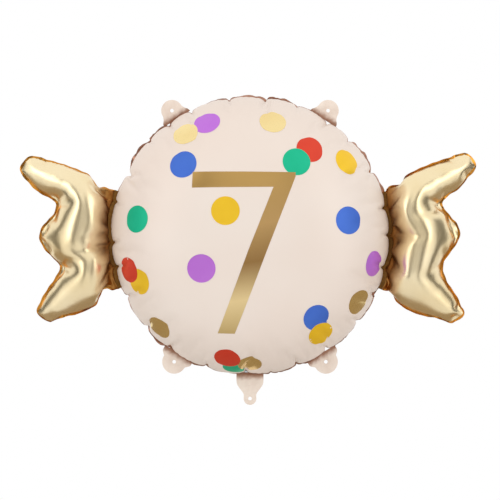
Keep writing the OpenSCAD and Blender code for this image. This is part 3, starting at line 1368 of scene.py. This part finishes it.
@dataclass(frozen=True)
class FlatPatch:
    """A small flat film with a round hole.

    Attributes:
        outline: the outer edge, anticlockwise.
        hole: centre of the hole.
        hole_r: radius of the hole, or 0 for none.
        collar: radius of the first ring of points round the hole, as a share of its radius.
        size: size of the triangles.
    """

    # Gives a piece its material and hides the part of the node that it stands for.
    outline: np.ndarray
    hole: Point = (0.0, 0.0)
    hole_r: float = 0.0
    collar: float = 1.35
    size: float = 1.5

    def cut(self) -> tuple[np.ndarray, np.ndarray]:
        """Cuts the patch into triangles.

        Returns:
            The flat points and the triangles.
        """
        loops = [list(range(len(self.outline)))]
        rings = [self.outline]
        if self.hole_r:
            around = np.arange(32) * math.pi / 16
            ring = np.stack([np.cos(around), np.sin(around)], axis=1) * self.hole_r + self.hole
            rings += [ring, np.array(self.hole) + (ring - self.hole) * self.collar]
            loops.append(list(range(len(self.outline), len(self.outline) + len(ring))))
        edges = np.vstack(rings)
        low, high = self.outline.min(axis=0), self.outline.max(axis=0)
        inner = []
        for row, z in enumerate(np.arange(low[1], high[1], self.size * ROW_SHARE)):
            for x in np.arange(low[0] + (row % 2) * self.size / 2, high[0], self.size):
                far = np.sqrt(((edges - (x, z)) ** 2).sum(axis=1).min()) > self.size * NEAREST
                past_hole = math.hypot(x - self.hole[0], z - self.hole[1]) > self.hole_r
                if far and past_hole and inside((x, z), self.outline):
                    inner.append((x, z))
        points = np.vstack([edges, inner])
        return points, triangulate(points, loops)


@dataclass
class HangingTab:
    """A punched tab that stands out of the rim's weld.

    Attributes:
        name: its node's name.
        angle: its direction, anticlockwise from the right.
        body: the round body.
        base_w: width where it leaves the rim.
        end_r: radius of its round end.
        root_r: distance of its root from the body's centre.
        hole_out: distance of the hole outside the root.
        hole_r: radius of the hole.
        waist: how far its sides pull in below the round end.
        bow: how far its sides bow back from its middle.
        folds: how many small folds run out of its root.
        fold_reach: how far out they fade.
        ripple: height of the film's faint ripple.
        root_in: how far its root reaches inside root_r.
        set_back: how far it stands behind the weld's middle.
        bend: where a bend would start and end, outward from the root; the places are worked out
            and left unused.
    """

    name: str
    angle: float
    body: RoundBody
    base_w: float = 37.0
    end_r: float = 13.0
    root_r: float = 169.3
    hole_out: float = 8.7
    hole_r: float = 2.2
    waist: float = 1.5
    bow: float = 1.2
    folds: int = 3
    fold_reach: float = 16.0
    ripple: float = 0.35
    root_in: float = 3.0
    set_back: float = 0.6
    bend: tuple[float, float] = (-1.5, 4.5)

    def __post_init__(self) -> None:
        """Gives the lower tabs the fuller outline that they have."""
        if "lower" in self.name:
            self.base_w += 2.0
            self.end_r += 1.5
            self.waist = -1.2

    def outline(self) -> np.ndarray:
        """Lays out the tab's edge: x is outward from the rim, z along the rim.

        Returns:
            The edge's points, anticlockwise.
        """
        lean = math.radians(92)
        half = self.base_w / 2
        end = [
            (self.hole_out + self.end_r * math.cos(a), self.end_r * math.sin(a))
            for a in np.linspace(-lean, lean, 40)
        ]
        root_x = -self.root_in
        foot = (0.5, half - 0.4 - self.waist * 0.3)
        knee = (4.0, (half + self.end_r) / 2 + 0.6 - self.waist)
        side = smooth_curve([(root_x, half), foot, knee, end[-1]], 8)
        upper = [side(t) for t in np.linspace(0, 1, 14)][1:-1]
        lower = [(x, -z) for x, z in upper]
        root = [(root_x, z) for z in np.linspace(half, -half, 25)]
        return np.array([*lower, *end, *upper[::-1], *root])

    def relief(self, out: np.ndarray, along_rim: np.ndarray) -> np.ndarray:
        """Bows, folds and ripples the tab's film.

        Args:
            out: distance outside root_r.
            along_rim: distance along the rim from the tab's middle.

        Returns:
            How far back the film stands.
        """
        rng = random.Random(self.name)
        near_root = np.clip(1 - (out + self.root_in) / self.fold_reach, 0, 1) ** 1.5
        back = self.bow * (along_rim / (self.base_w / 2)) ** 2
        for _ in range(self.folds):
            at, lean = rng.uniform(-11, 11), rng.uniform(-0.35, 0.35)
            depth, width = rng.uniform(0.8, 1.6), rng.uniform(0.9, 1.8)
            off = along_rim - at - lean * out
            back = back + depth * near_root * np.exp(-((off / width) ** 2))
        return back + self.ripple * np.sin(out / 3.1 + along_rim / 5.3)

    def build(self, shop: Workshop) -> None:
        """Makes the tab.

        Args:
            shop: where the piece is made.
        """
        patch = FlatPatch(self.outline(), (self.hole_out, 0.0), self.hole_r)
        flat, faces = patch.cut()
        out, along_rim = flat.T
        back = self.relief(out, along_rim)
        angle = math.radians(self.angle)
        radius = self.root_r + out
        x = radius * math.cos(angle) - along_rim * math.sin(angle)
        z = radius * math.sin(angle) + along_rim * math.cos(angle)
        points = np.stack([x, back + self.set_back, z], axis=1)
        tab = shop.put(self.name, Film(points, faces, flat, 0.2), "tab film")
        away = Vector((math.cos(angle), 0.0, math.sin(angle))) * MM
        start, end = (shop.origin + away * (self.root_r + step) for step in self.bend)
        tuple(start)
        tuple(end)
        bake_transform(tab)


@dataclass
class FillingTail:
    """The filling tail below the body: two plies, the weld at their sides and an eyelet.

    Attributes:
        body: the round body.
        shoulder_w: width at the shoulders.
        nub_r: radius of the round end.
        eyelet_drop: distance from the rim to the eyelet.
        eyelet_r: radius of the eyelet.
        shoulder_up: height of the shoulders above the eyelet.
        channel_w: width of the raised valve channel.
        channel_rise: how far each ply stands up over the channel.
        pocket: half width of the unwelded middle, and its foot's height above the eyelet.
        buckle: height of the small folds across its root.
        bow: how far its sides bow forward.
        back: how far its root leans back behind the rim.
        tuck: how far its root reaches up behind the rim.
        bend: where a bend would start and end, downward from the rim; the places are worked out
            and left unused.
    """

    body: RoundBody
    shoulder_w: float = 32.6
    nub_r: float = 7.7
    eyelet_drop: float = 29.0
    eyelet_r: float = 2.2
    shoulder_up: float = 16.5
    channel_w: float = 7.0
    channel_rise: float = 0.55
    pocket: tuple[float, float] = (9.2, 12.4)
    buckle: float = 0.5
    bow: float = 0.9
    back: float = 2.2
    tuck: float = 2.5
    bend: tuple[float, float] = (0.0, 6.0)

    def outline(self) -> np.ndarray:
        """Lays out the tail's edge round its eyelet: x is to the right, z up.

        Returns:
            The edge's points, anticlockwise.
        """
        half = self.shoulder_w / 2
        top = self.eyelet_drop + self.tuck
        end = [
            (self.nub_r * math.cos(a), self.nub_r * math.sin(a))
            for a in np.linspace(-math.pi, 0, 32)
        ]
        knots = [end[-1], (self.nub_r + 0.3, 6.0), (half - 2.5, self.shoulder_up - 2.5)]
        knots += [(half - 0.2, self.shoulder_up + 3), (half, top)]
        side = smooth_curve(knots, 8)
        right = [tuple(side(t)) for t in np.linspace(0, 1, 22)][1:]
        left = [(-x, z) for x, z in right[::-1]]
        top_edge = [(x, top) for x in np.linspace(half, -half, 23)[1:-1]]
        return np.array([*end, *right, *top_edge, *left])

    def sway(self, x: np.ndarray, z: np.ndarray) -> np.ndarray:
        """Tells how far the tail's layers bow and buckle, backward, at a place.

        Args:
            x: distance right of the eyelet.
            z: height above it.

        Returns:
            The distance backward.
        """
        root, top = self.eyelet_drop - 1.0, self.eyelet_drop + self.tuck
        buckle = self.buckle * np.sin(x / 2.7 + 0.6) * smooth_step((z - 12) / (root - 12))
        bow = self.bow * (x / self.shoulder_w * 2) ** 2 * smooth_step((z - 4) / 18)
        back = self.back * smooth_step((z - root + 4) / (top - root + 4))
        return (buckle - bow + back) * (1 - smooth_step((z - top) / 5))

    def build(self, shop: Workshop) -> None:
        """Makes the plies and the side weld.

        Args:
            shop: where the pieces are made.
        """
        patch = FlatPatch(self.outline(), (0.0, 0.0), self.eyelet_r, size=1.3)
        flat, faces = patch.cut()
        x, z = flat.T
        over = smooth_step((z - self.eyelet_r - 3) / 6)
        shared = self.sway(x, z)
        ridge = np.exp(-(((x - 1.0) / (self.channel_w / 2)) ** 4)) * over * self.channel_rise
        cross = 0.35 * np.exp(-(((z - 15 - 0.25 * x) / 1.1) ** 2)) * np.exp(-((x / 9) ** 2))
        base = -(self.body.rim_r + 2.0) - self.eyelet_drop
        middles = flat[faces].mean(axis=1)
        welded = (np.abs(middles[:, 0]) > self.pocket[0]) | (middles[:, 1] < self.pocket[1])
        start, end = (
            tuple(shop.origin + Vector((0.0, 0.0, base + self.eyelet_drop - step)) * MM)
            for step in self.bend
        )
        plies = {
            "tail_front_ply": (-0.5 - ridge - cross, faces, 0.2),
            "tail_side_seal": (0.0 * x, faces[welded], 0.3),
            "tail_back_ply": (0.5 + ridge, faces[:, ::-1], 0.2),
        }
        for name, (off, turned, thick) in plies.items():
            points = np.stack([x, shared + off, base + z], axis=1)
            film = Film(points, turned, flat, thick)
            piece = shop.put(name, film, "tail film")
            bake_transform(piece)
            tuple(start)
            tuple(end)


@dataclass(frozen=True)
class ValveFilm:
    """One of the filling valve's clear films.

    Attributes:
        node: the node that it stands for.
        rides_on: the body that carries it.
        sway: how far it sways backward at x and z, where the tail carries it along.
    """

    node: str
    rides_on: str
    sway: Callable[[float, float], float] | None = None

    def build(self, shop: Workshop) -> None:
        """Makes the film in its node's own place.

        Args:
            shop: where the piece is dressed.
        """
        low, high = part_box(self.node)
        mesh = bmesh.new()
        bmesh.ops.create_grid(mesh, x_segments=14, y_segments=40, size=0.5)
        flat = mesh.loops.layers.uv.new("flat")
        middle, span = (low + high) / 2, high - low
        for vert in mesh.verts:
            vert.co = Vector((vert.co.x * span.x, 0.0, vert.co.y * span.z)) + middle
            if self.sway is not None:
                vert.co.y += self.sway(vert.co.x / MM, vert.co.z / MM) * MM
        for face in mesh.faces:
            for loop in face.loops:
                loop[flat].uv = (loop.vert.co.x, loop.vert.co.z)
        mesh.normal_update()
        name = self.node + "_clear"
        film = bpy.data.objects.new(name, bpy.data.meshes.new(name))
        mesh.to_mesh(film.data)
        mesh.free()
        bpy.context.scene.collection.objects.link(film)
        ply = film.modifiers.new("ply", "SOLIDIFY")
        ply.thickness = 0.1 * MM
        ply.offset = 0
        shop.settle(film)
        shop.dress(film, self.node, "clear film")
        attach(film, self.rides_on)


# ---- Finishes ------------------------------------------------------------------------

Socket = bpy.types.NodeSocket
Colour = tuple[float, float, float]
# depth of the creases at the round weld, in metres
CREASE_DEPTH = 0.0012


class Way(Enum):
    """A direction on a flat film: which of its two coordinates."""

    ACROSS = 0
    UP = 1


def linear(red: int, green: int, blue: int) -> tuple[float, float, float, float]:
    """Turns a colour as seen on a screen, 0 to 255, into the renderer's own values."""
    parts = [c / 255 for c in (red, green, blue)]
    return (*(c / 12.92 if c < 0.04045 else ((c + 0.055) / 1.055) ** 2.4 for c in parts), 1.0)


class Recipe:
    """A material's node tree, with short ways to add what the finishes share."""

    def __init__(self, name: str) -> None:
        """Starts an empty material with a Principled shader.

        Args:
            name: the material's name.
        """
        self.material = bpy.data.materials.new(name)
        self.material.use_nodes = True
        self.tree = self.material.node_tree
        self.shader = self.tree.nodes["Principled BSDF"]

    def set(self, **sockets: float | tuple) -> None:
        """Sets the shader's own sockets by name, with _ for a space."""
        for name, value in sockets.items():
            self.shader.inputs[name.replace("_", " ")].default_value = value

    def node(self, kind: str, **settings: object) -> bpy.types.Node:
        """Adds a node and sets its properties.

        Args:
            kind: the node's kind, without its first word.
            settings: its properties by name.

        Returns:
            The node.
        """
        made = self.tree.nodes.new("ShaderNode" + kind)
        for name, value in settings.items():
            setattr(made, name, value)
        return made

    def link(self, out: Socket, into: Socket) -> None:
        """Joins two sockets."""
        self.tree.links.new(out, into)

    def into(self, out: Socket, name: str) -> None:
        """Leads a value into one of the shader's sockets."""
        self.link(out, self.shader.inputs[name])

    def place(self, scale: tuple[float, float, float] = (1, 1, 1)) -> Socket:
        """Reads the object coordinates.

        Args:
            scale: how much they are stretched each way.

        Returns:
            The place.
        """
        coords = self.node("TexCoord")
        mapping = self.node("Mapping")
        mapping.inputs["Scale"].default_value = scale
        self.link(coords.outputs["Object"], mapping.inputs["Vector"])
        return mapping.outputs["Vector"]

    def flat(self) -> Socket:
        """The place on the flat film, in metres."""
        return self.node("UVMap", uv_map="flat").outputs["UV"]

    def flat_ways(self) -> tuple[Socket, Socket]:
        """Splits the place on the flat film.

        Returns:
            How far it is across and how far up, in metres.
        """
        split = self.node("SeparateXYZ")
        self.link(self.flat(), split.inputs["Vector"])
        return split.outputs["X"], split.outputs["Y"]

    def math(self, kind: str, first: Socket | float, second: Socket | float = 0.0) -> Socket:
        """Adds a sum of two values.

        Args:
            kind: which sum.
            first: its first value.
            second: its second value, where it takes one.

        Returns:
            The result.
        """
        made = self.node("Math", operation=kind)
        for socket, value in zip(made.inputs, (first, second)):
            if isinstance(value, Socket):
                self.link(value, socket)
            else:
                socket.default_value = value
        return made.outputs["Value"]

    def noise(self, where: Socket, scale: float, detail: float = 2.0) -> Socket:
        """Adds soft random patches.

        Args:
            where: the coordinates.
            scale: how many patches there are to a metre.
            detail: how much finer detail they have.

        Returns:
            A value from 0 to 1.
        """
        made = self.node("TexNoise")
        made.inputs["Scale"].default_value = scale
        made.inputs["Detail"].default_value = detail
        self.link(where, made.inputs["Vector"])
        return made.outputs["Fac"]

    def ramp(self, value: Socket, *stops: tuple[float, tuple]) -> Socket:
        """Turns a value into a colour by a few stops.

        Args:
            value: a value from 0 to 1.
            stops: places from 0 to 1, each with its colour.

        Returns:
            The colour.
        """
        made = self.node("ValToRGB")
        elements = made.color_ramp.elements
        while len(elements) < len(stops):
            elements.new(0.5)
        for element, (place, colour) in zip(elements, stops):
            element.position = place
            element.color = colour
        self.link(value, made.inputs["Fac"])
        return made.outputs["Color"]

    def range(self, value: Socket, low: float, high: float) -> Socket:
        """Turns 0..1 into a range.

        Args:
            value: a value from 0 to 1.
            low: what 0 becomes.
            high: what 1 becomes.

        Returns:
            The new value.
        """
        made = self.node("MapRange")
        made.inputs["To Min"].default_value = low
        made.inputs["To Max"].default_value = high
        self.link(value, made.inputs["Value"])
        return made.outputs["Result"]

    def share(self, value: Socket, low: float, high: float, easing: str = "LINEAR") -> Socket:
        """Turns a range into 0..1.

        Args:
            value: the value to turn.
            low: what becomes 0.
            high: what becomes 1.
            easing: how it runs between them.

        Returns:
            The new value.
        """
        made = self.node("MapRange", clamp=True, interpolation_type=easing)
        made.inputs["From Min"].default_value = low
        made.inputs["From Max"].default_value = high
        self.link(value, made.inputs["Value"])
        return made.outputs["Result"]

    def rooted(
        self, colour: Socket, reach: Socket, root: float, fade: float, shade: tuple
    ) -> Socket:
        """Paints shade where a film meets the round body, with an uneven edge: painted shade on
        the tabs and the tail, a painted reflection of the body on the wings.

        Args:
            colour: the film's own colour.
            reach: how far out along the flat film a point is, in metres.
            root: the reach at which the painted shade is full.
            fade: the reach at which it ends.
            shade: the painted colour at the root.

        Returns:
            The shaded colour.
        """
        uneven = self.range(self.noise(self.flat(), 160.0), -0.003, 0.003)
        share = self.share(self.math("ADD", reach, uneven), fade, root, "SMOOTHSTEP")
        mix = self.node("Mix", data_type="RGBA")
        own, shaded = (socket for socket in mix.inputs if socket.type == "RGBA")
        shaded.default_value = shade
        self.link(share, mix.inputs["Factor"])
        self.link(colour, own)
        return next(socket for socket in mix.outputs if socket.type == "RGBA")

    def bump(self, *layers: tuple[Socket, float]) -> None:
        """Adds bumps, one over the other.

        Args:
            layers: heights from 0 to 1, each with what 1 stands for in metres.
        """
        below = None
        for height, distance in layers:
            made = self.node("Bump")
            made.inputs["Distance"].default_value = distance
            self.link(height, made.inputs["Height"])
            if below is not None:
                self.link(below, made.inputs["Normal"])
            below = made.outputs["Normal"]
        self.into(below, "Normal")

    def crinkle(self, near: float = 0.217, depth: float = 0.03) -> Socket:
        """Fine creases that run inward from the round weld and fade.

        Args:
            near: flat radius at which the creases are full, in metres.
            depth: how far in they fade out, in metres.

        Returns:
            A height from 0 to 1.
        """
        across, up = self.flat_ways()
        angle = self.math("ARCTAN2", up, across)
        squares = self.math("MULTIPLY", across, across), self.math("MULTIPLY", up, up)
        radius = self.math("SQRT", self.math("ADD", *squares))
        combined = self.node("CombineXYZ")
        self.link(self.math("MULTIPLY", angle, 26.0), combined.inputs["X"])
        self.link(self.math("MULTIPLY", radius, 9.0), combined.inputs["Y"])
        ridges = self.noise(combined.outputs["Vector"], 1.6, 3.0)
        fade = self.share(radius, near - depth, near)
        return self.math("MULTIPLY", ridges, self.math("POWER", fade, 2.0))


@dataclass(frozen=True)
class PearlFoil:
    """Pale pink foil with a satin, pearly face.

    Attributes:
        name: the finish's name.
        pale: the foil's colour.
        deep: its colour in wide, soft patches.
        roughness: how blurred its reflections are.
    """

    name: str = "pearl foil"
    pale: tuple = linear(235, 222, 211)
    deep: tuple = linear(231, 213, 200)
    roughness: float = 0.5

    def make(self) -> bpy.types.Material:
        """Builds the finish.

        Returns:
            The material.
        """
        recipe = Recipe(self.name)
        recipe.set(Metallic=0.1)
        patches = recipe.noise(recipe.place(), 6.0)
        recipe.into(recipe.ramp(patches, (0.3, self.pale), (0.75, self.deep)), "Base Color")
        grain = recipe.noise(recipe.flat(), 900.0, 1.0)
        recipe.into(recipe.range(grain, self.roughness - 0.04, self.roughness + 0.04), "Roughness")
        recipe.bump((grain, 0.00001), (recipe.crinkle(), CREASE_DEPTH))
        return recipe.material


@dataclass(frozen=True)
class TabFilm:
    """The doubled pink film of the tabs and the tail, with painted shade where it meets the rim.

    Attributes:
        name: the finish's name.
        way: which flat direction runs from the rim to the free end.
        root: where the root is along it, in metres.
        fade: where the root's painted shade ends, in metres.
        pale: the film's colour.
        deep: its colour in streaks.
        shade: the painted shade's colour at the root.
    """

    name: str
    way: Way
    root: float
    fade: float
    pale: tuple = linear(242, 227, 213)
    deep: tuple = linear(228, 208, 192)
    shade: tuple = linear(158, 112, 86)

    def make(self) -> bpy.types.Material:
        """Builds the finish.

        Returns:
            The material.
        """
        recipe = Recipe(self.name)
        recipe.set(Metallic=0.05, Coat_Weight=0.15, Coat_Roughness=0.2)
        streaks = recipe.noise(recipe.place((1.0, 1.0, 0.4)), 90.0, 3.0)
        film = recipe.ramp(streaks, (0.35, self.pale), (0.8, self.deep))
        # painted shade: the film turns brown towards its root at the rim
        reach = recipe.flat_ways()[self.way.value]
        recipe.into(recipe.rooted(film, reach, self.root, self.fade, self.shade), "Base Color")
        recipe.into(recipe.range(streaks, 0.3, 0.45), "Roughness")
        recipe.bump((streaks, 0.0005))
        return recipe.material


@dataclass(frozen=True)
class MirrorFoil:
    """Metal foil that mirrors its surroundings.

    Attributes:
        name: the finish's name.
        light: the metal's colour.
        deep: its colour in the noise's darker patches.
        roughness: how blurred its reflections are.
        crinkle: depth of its fine creases, in metres.
        scale: how many creases there are to a metre.
        root: where a wing's brown root, a painted reflection of the pink body, is full and where
        it ends, from the body's middle out along the flat film, in metres; none on other pieces.
        shade: the colour of that painted reflection at the root.
    """

    name: str
    light: tuple
    deep: tuple
    roughness: float = 0.16
    crinkle: float = 0.0004
    scale: float = 60.0
    root: tuple[float, float] | None = None
    shade: tuple = linear(172, 120, 62)

    def make(self) -> bpy.types.Material:
        """Builds the finish.

        Returns:
            The material.
        """
        recipe = Recipe(self.name)
        recipe.set(Metallic=1.0)
        where = recipe.place()
        patches = recipe.noise(where, 14.0, 3.0)
        metal = recipe.ramp(patches, (0.35, self.light), (0.7, self.deep))
        # painted reflection: the wing's foil turns brown towards the body, where it mirrors the
        # body's side
        if self.root:
            reach = recipe.math("ABSOLUTE", recipe.flat_ways()[Way.ACROSS.value])
            metal = recipe.rooted(metal, reach, *self.root, self.shade)
        recipe.into(metal, "Base Color")
        blur = recipe.range(patches, self.roughness - 0.04, self.roughness + 0.06)
        recipe.into(blur, "Roughness")
        creases = recipe.noise(where, self.scale, 3.0)
        fine = recipe.noise(where, self.scale * 6, 2.0)
        recipe.bump((creases, self.crinkle), (fine, self.crinkle * 0.12))
        return recipe.material


@dataclass(frozen=True)
class NumberFoil:
    """The number's satin gold print, with a painted reflection as light and dark bands along its
    height.

    Attributes:
        name: the finish's name.
        low: height of the number's foot on the flat film, in metres.
        high: height of its top.
        lean: how much the lines of equal tone climb to the right.
        tones: the print's tone at shares of that height, a painted reflection of light and dark
            bands.
    """

    name: str = "number foil"
    low: float = -0.12
    high: float = 0.08
    lean: float = 0.15
    tones: tuple = (
        (0.0, linear(196, 168, 112)),
        (0.22, linear(240, 214, 158)),
        (0.44, linear(176, 136, 84)),
        (0.66, linear(222, 180, 118)),
        (0.95, linear(202, 163, 98)),
    )

    def make(self) -> bpy.types.Material:
        """Builds the finish.

        Returns:
            The material.
        """
        recipe = Recipe(self.name)
        recipe.set(Metallic=1.0)
        across, up = recipe.flat_ways()
        leaning = recipe.math("ADD", up, recipe.math("MULTIPLY", across, -self.lean))
        height = recipe.share(leaning, self.low, self.high)
        # painted reflection: light and dark bands along the number's height
        recipe.into(recipe.ramp(height, *self.tones), "Base Color")
        grain = recipe.noise(recipe.flat(), 700.0, 2.0)
        recipe.into(recipe.range(grain, 0.3, 0.4), "Roughness")
        recipe.bump((grain, 0.00001))
        return recipe.material


@dataclass(frozen=True)
class PrintedInk:
    """An ink printed on the foil, with the foil's own soft shine.

    Attributes:
        name: the finish's name.
        colour: the ink's colour.
        edge: its colour where it is laid on a little differently.
    """

    name: str
    colour: tuple
    edge: tuple

    def make(self) -> bpy.types.Material:
        """Builds the finish.

        Returns:
            The material.
        """
        recipe = Recipe(self.name)
        recipe.set(Metallic=0.45)
        mottle = recipe.noise(recipe.place(), 25.0, 3.0)
        recipe.into(recipe.ramp(mottle, (0.3, self.colour), (0.8, self.edge)), "Base Color")
        grain = recipe.noise(recipe.flat(), 1200.0, 1.0)
        recipe.into(recipe.range(grain, 0.36, 0.46), "Roughness")
        recipe.bump((grain, 0.00001), (recipe.crinkle(), CREASE_DEPTH))
        return recipe.material


@dataclass(frozen=True)
class ClearFilm:
    """The valve's clear, slightly milky film.

    Attributes:
        name: the finish's name.
    """

    name: str = "clear film"

    def make(self) -> bpy.types.Material:
        """Builds the finish.

        Returns:
            The material.
        """
        recipe = Recipe(self.name)
        recipe.set(Transmission_Weight=0.9, IOR=1.45, Base_Color=linear(236, 240, 243))
        cloud = recipe.noise(recipe.place(), 120.0, 2.0)
        recipe.into(recipe.range(cloud, 0.12, 0.3), "Roughness")
        recipe.bump((cloud, 0.0001))
        return recipe.material


def metals() -> list[MirrorFoil]:
    """Lists the metal foils.

    Returns:
        The foils of the wings, their welds and webs, the body's weld and the gold dots.
    """
    return [
        MirrorFoil(
            "gold foil",
            linear(250, 233, 194),
            linear(243, 221, 173),
            roughness=0.28,
            crinkle=0.0003,
            scale=40.0,
            # a painted reflection of the pink body, browning the wing towards its root
            root=(0.226, 0.258),
        ),
        MirrorFoil(
            "gold weld",
            linear(214, 150, 62),
            linear(190, 120, 40),
            roughness=0.22,
            crinkle=0.0006,
            scale=160.0,
        ),
        # the web's dark brown is painted shade in the gap between the body and the wing
        MirrorFoil(
            "gold web",
            linear(150, 105, 52),
            linear(84, 54, 24),
            roughness=0.3,
            crinkle=0.0008,
            scale=220.0,
        ),
        MirrorFoil(
            "pink weld",
            linear(196, 150, 128),
            linear(130, 84, 64),
            roughness=0.3,
            crinkle=0.0005,
            scale=160.0,
        ),
        MirrorFoil(
            "dots_gold",
            linear(250, 228, 166),
            linear(242, 214, 148),
            roughness=0.2,
            crinkle=0.0001,
            scale=30.0,
        ),
    ]


def finishes() -> dict[str, bpy.types.Material]:
    """Builds every finish once.

    Returns:
        The materials by name.
    """
    made = [
        PearlFoil(),
        # the tab and tail films get painted shade at their roots by the rim
        TabFilm("tab film", Way.ACROSS, root=-0.002, fade=0.006),
        TabFilm("tail film", Way.UP, root=0.030, fade=0.021),
        ClearFilm(),
        NumberFoil(),
        *metals(),
        PrintedInk("dots_red", linear(222, 66, 40), linear(214, 56, 34)),
        PrintedInk("dots_blue", linear(60, 104, 200), linear(68, 114, 206)),
        PrintedInk("dots_green", linear(0, 186, 138), linear(24, 196, 152)),
        PrintedInk("dots_yellow", linear(250, 204, 40), linear(240, 192, 28)),
        PrintedInk("dots_purple", linear(190, 108, 216), linear(198, 124, 222)),
    ]
    return {finish.name: finish.make() for finish in made}


# ---- Studio --------------------------------------------------------------------------


@dataclass
class Studio:
    """Floor, lights, cards and camera round the balloon.

    Attributes:
        centre: the round body's centre in the frame, in metres.
        floor_z: height of the floor.
        floor_r: its radius.
        distance: how far off the camera stands.
        view_w: width of what it sees at the balloon.
        aim_drop: how far below the body's centre it looks.
    """

    centre: Vector
    floor_z: float = -0.25
    floor_r: float = 1.1
    distance: float = 4.5
    view_w: float = 0.6043
    aim_drop: float = 0.0175

    def build(self) -> None:
        """Sets up the whole studio."""
        bpy.context.scene.view_settings.view_transform = "Standard"
        self.floor()
        self.sky()
        self.lights()
        self.camera()

    def plain(self, name: str, tone: Colour) -> bpy.types.Material:
        """Makes a plain matt tone.

        Args:
            name: the material's name.
            tone: its colour, each part from 0 to 1.

        Returns:
            The material.
        """
        recipe = Recipe(name)
        recipe.set(Base_Color=(*tone, 1.0), Roughness=0.9)
        return recipe.material

    def floor(self) -> None:
        """Makes a round pale floor."""
        mesh = bmesh.new()
        bmesh.ops.create_circle(mesh, cap_ends=True, segments=96, radius=self.floor_r)
        bmesh.ops.translate(mesh, verts=mesh.verts, vec=(0, 0.1, self.floor_z))
        floor = bpy.data.objects.new("floor", bpy.data.meshes.new("floor"))
        mesh.to_mesh(floor.data)
        mesh.free()
        floor.data.materials.append(self.plain("floor", (0.82, 0.82, 0.82)))
        bpy.context.scene.collection.objects.link(floor)

    def card(
        self,
        name: str,
        place: Vector,
        size: tuple[float, float],
        tone: Colour,
        facing: Vector | None = None,
    ) -> None:
        """Stands a card where only reflections see it.

        Args:
            name: the card's name.
            place: its middle.
            size: its width and height.
            tone: its colour, each part from 0 to 1.
            facing: which way it faces; towards the balloon if left out.
        """
        mesh = bmesh.new()
        bmesh.ops.create_grid(mesh, x_segments=1, y_segments=1, size=0.5)
        card = bpy.data.objects.new(name, bpy.data.meshes.new(name))
        bmesh.ops.scale(mesh, verts=mesh.verts, vec=(size[0], size[1], 1))
        mesh.to_mesh(card.data)
        mesh.free()
        card.location = place
        facing = facing or self.centre - place
        card.rotation_euler = facing.to_track_quat("Z", "Y").to_euler()
        card.data.materials.append(self.plain(name, tone))
        card.visible_camera = card.visible_diffuse = card.visible_shadow = False
        bpy.context.scene.collection.objects.link(card)

    def light(self, name: str, place: Vector, size: tuple[float, float], power: float) -> None:
        """Hangs a soft light that faces the balloon.

        Args:
            name: the light's name.
            place: its middle.
            size: its width and height.
            power: its power in watts.
        """
        lamp = bpy.data.lights.new(name, "AREA")
        lamp.shape = "RECTANGLE"
        lamp.size, lamp.size_y = size
        lamp.energy = power
        holder = bpy.data.objects.new(name, lamp)
        holder.location = place
        holder.rotation_euler = (self.centre - place).to_track_quat("-Z", "Y").to_euler()
        holder.visible_camera = False
        bpy.context.scene.collection.objects.link(holder)

    def sky(self) -> None:
        """Lights the surroundings evenly in white."""
        world = bpy.data.worlds.new("studio")
        world.use_nodes = True
        world.node_tree.nodes["Background"].inputs["Color"].default_value = (1, 1, 1, 1)
        world.node_tree.nodes["Background"].inputs["Strength"].default_value = 1.0
        bpy.context.scene.world = world

    def lights(self) -> None:
        """Hangs the lights and stands the dark cards that give the foil its contrast."""
        at = self.centre
        self.light("left_box", at + Vector((-1.1, -1.1, 0.35)), (0.4, 1.1), 2.0)
        self.light("right_box", at + Vector((1.1, -1.1, 0.35)), (0.4, 1.1), 2.0)
        middle, below = at + Vector((0, -1.3, 0.0)), at + Vector((0, 0.3, -0.43))
        self.card("dark_front", middle, (0.7, 0.7), (0.6, 0.6, 0.6))
        self.card("dark_floor", below, (2.4, 0.9), (0.34, 0.26, 0.17), Vector((0, 0, 1)))
        for side in (-1, 1):
            wide, narrow = Vector((1.3 * side, -0.1, 0.0)), Vector((0.54 * side, -1.1, 0.05))
            self.card(f"dark_side_{side + 1}", at + wide, (0.5, 1.4), (0.06, 0.05, 0.03))
            self.card(f"dark_strip_{side + 1}", at + narrow, (0.36, 1.3), (0.08, 0.065, 0.045))

    def camera(self) -> None:
        """Sets the camera straight in front, at a long lens."""
        camera = bpy.data.cameras.new("camera")
        camera.sensor_width = 36.0
        camera.lens = camera.sensor_width * self.distance / self.view_w
        camera.clip_end = 50.0
        holder = bpy.data.objects.new("camera", camera)
        holder.location = self.centre + Vector((0, -self.distance, -self.aim_drop))
        holder.rotation_euler = (math.pi / 2, 0, 0)
        bpy.context.scene.collection.objects.link(holder)
        bpy.context.scene.camera = holder


def main() -> None:
    """Builds the balloon's looks and the studio round them."""
    logging.basicConfig(level=logging.INFO, format="%(message)s")
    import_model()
    low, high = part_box("body_rim_seal")
    centre = (low + high) / 2
    shop = Workshop(centre, finishes())
    body = RoundBody()
    body.blow_up(GasFill(seam_gather=3.0))
    body.build(shop)
    Artwork().build(shop, body)
    for side in Side:
        wing = Wing(side, body, seed=7 + side.value)
        wing.blow_up(GasFill(bending=0.1))
        wing.build(shop)
    tabs = {
        "tab_upper_left": 122.0,
        "tab_upper_right": 58.0,
        "tab_lower_left": 239.0,
        "tab_lower_right": 301.0,
    }
    for name, angle in tabs.items():
        HangingTab(name, angle, body).build(shop)
    tail = FillingTail(body)
    tail.build(shop)
    films = {
        "valve_collar_front_film": "body",
        "valve_collar_back_film": "body",
        "valve_front_flap": "valve_front",
        "valve_back_flap": "valve_back",
        "tail_front_film": "tail",
        "tail_back_film": "tail",
    }
    for node, rides_on in films.items():
        ValveFilm(node, rides_on, None if node.endswith("flap") else tail.sway).build(shop)
    Studio(centre).build()


if __name__ == "__main__":
    main()
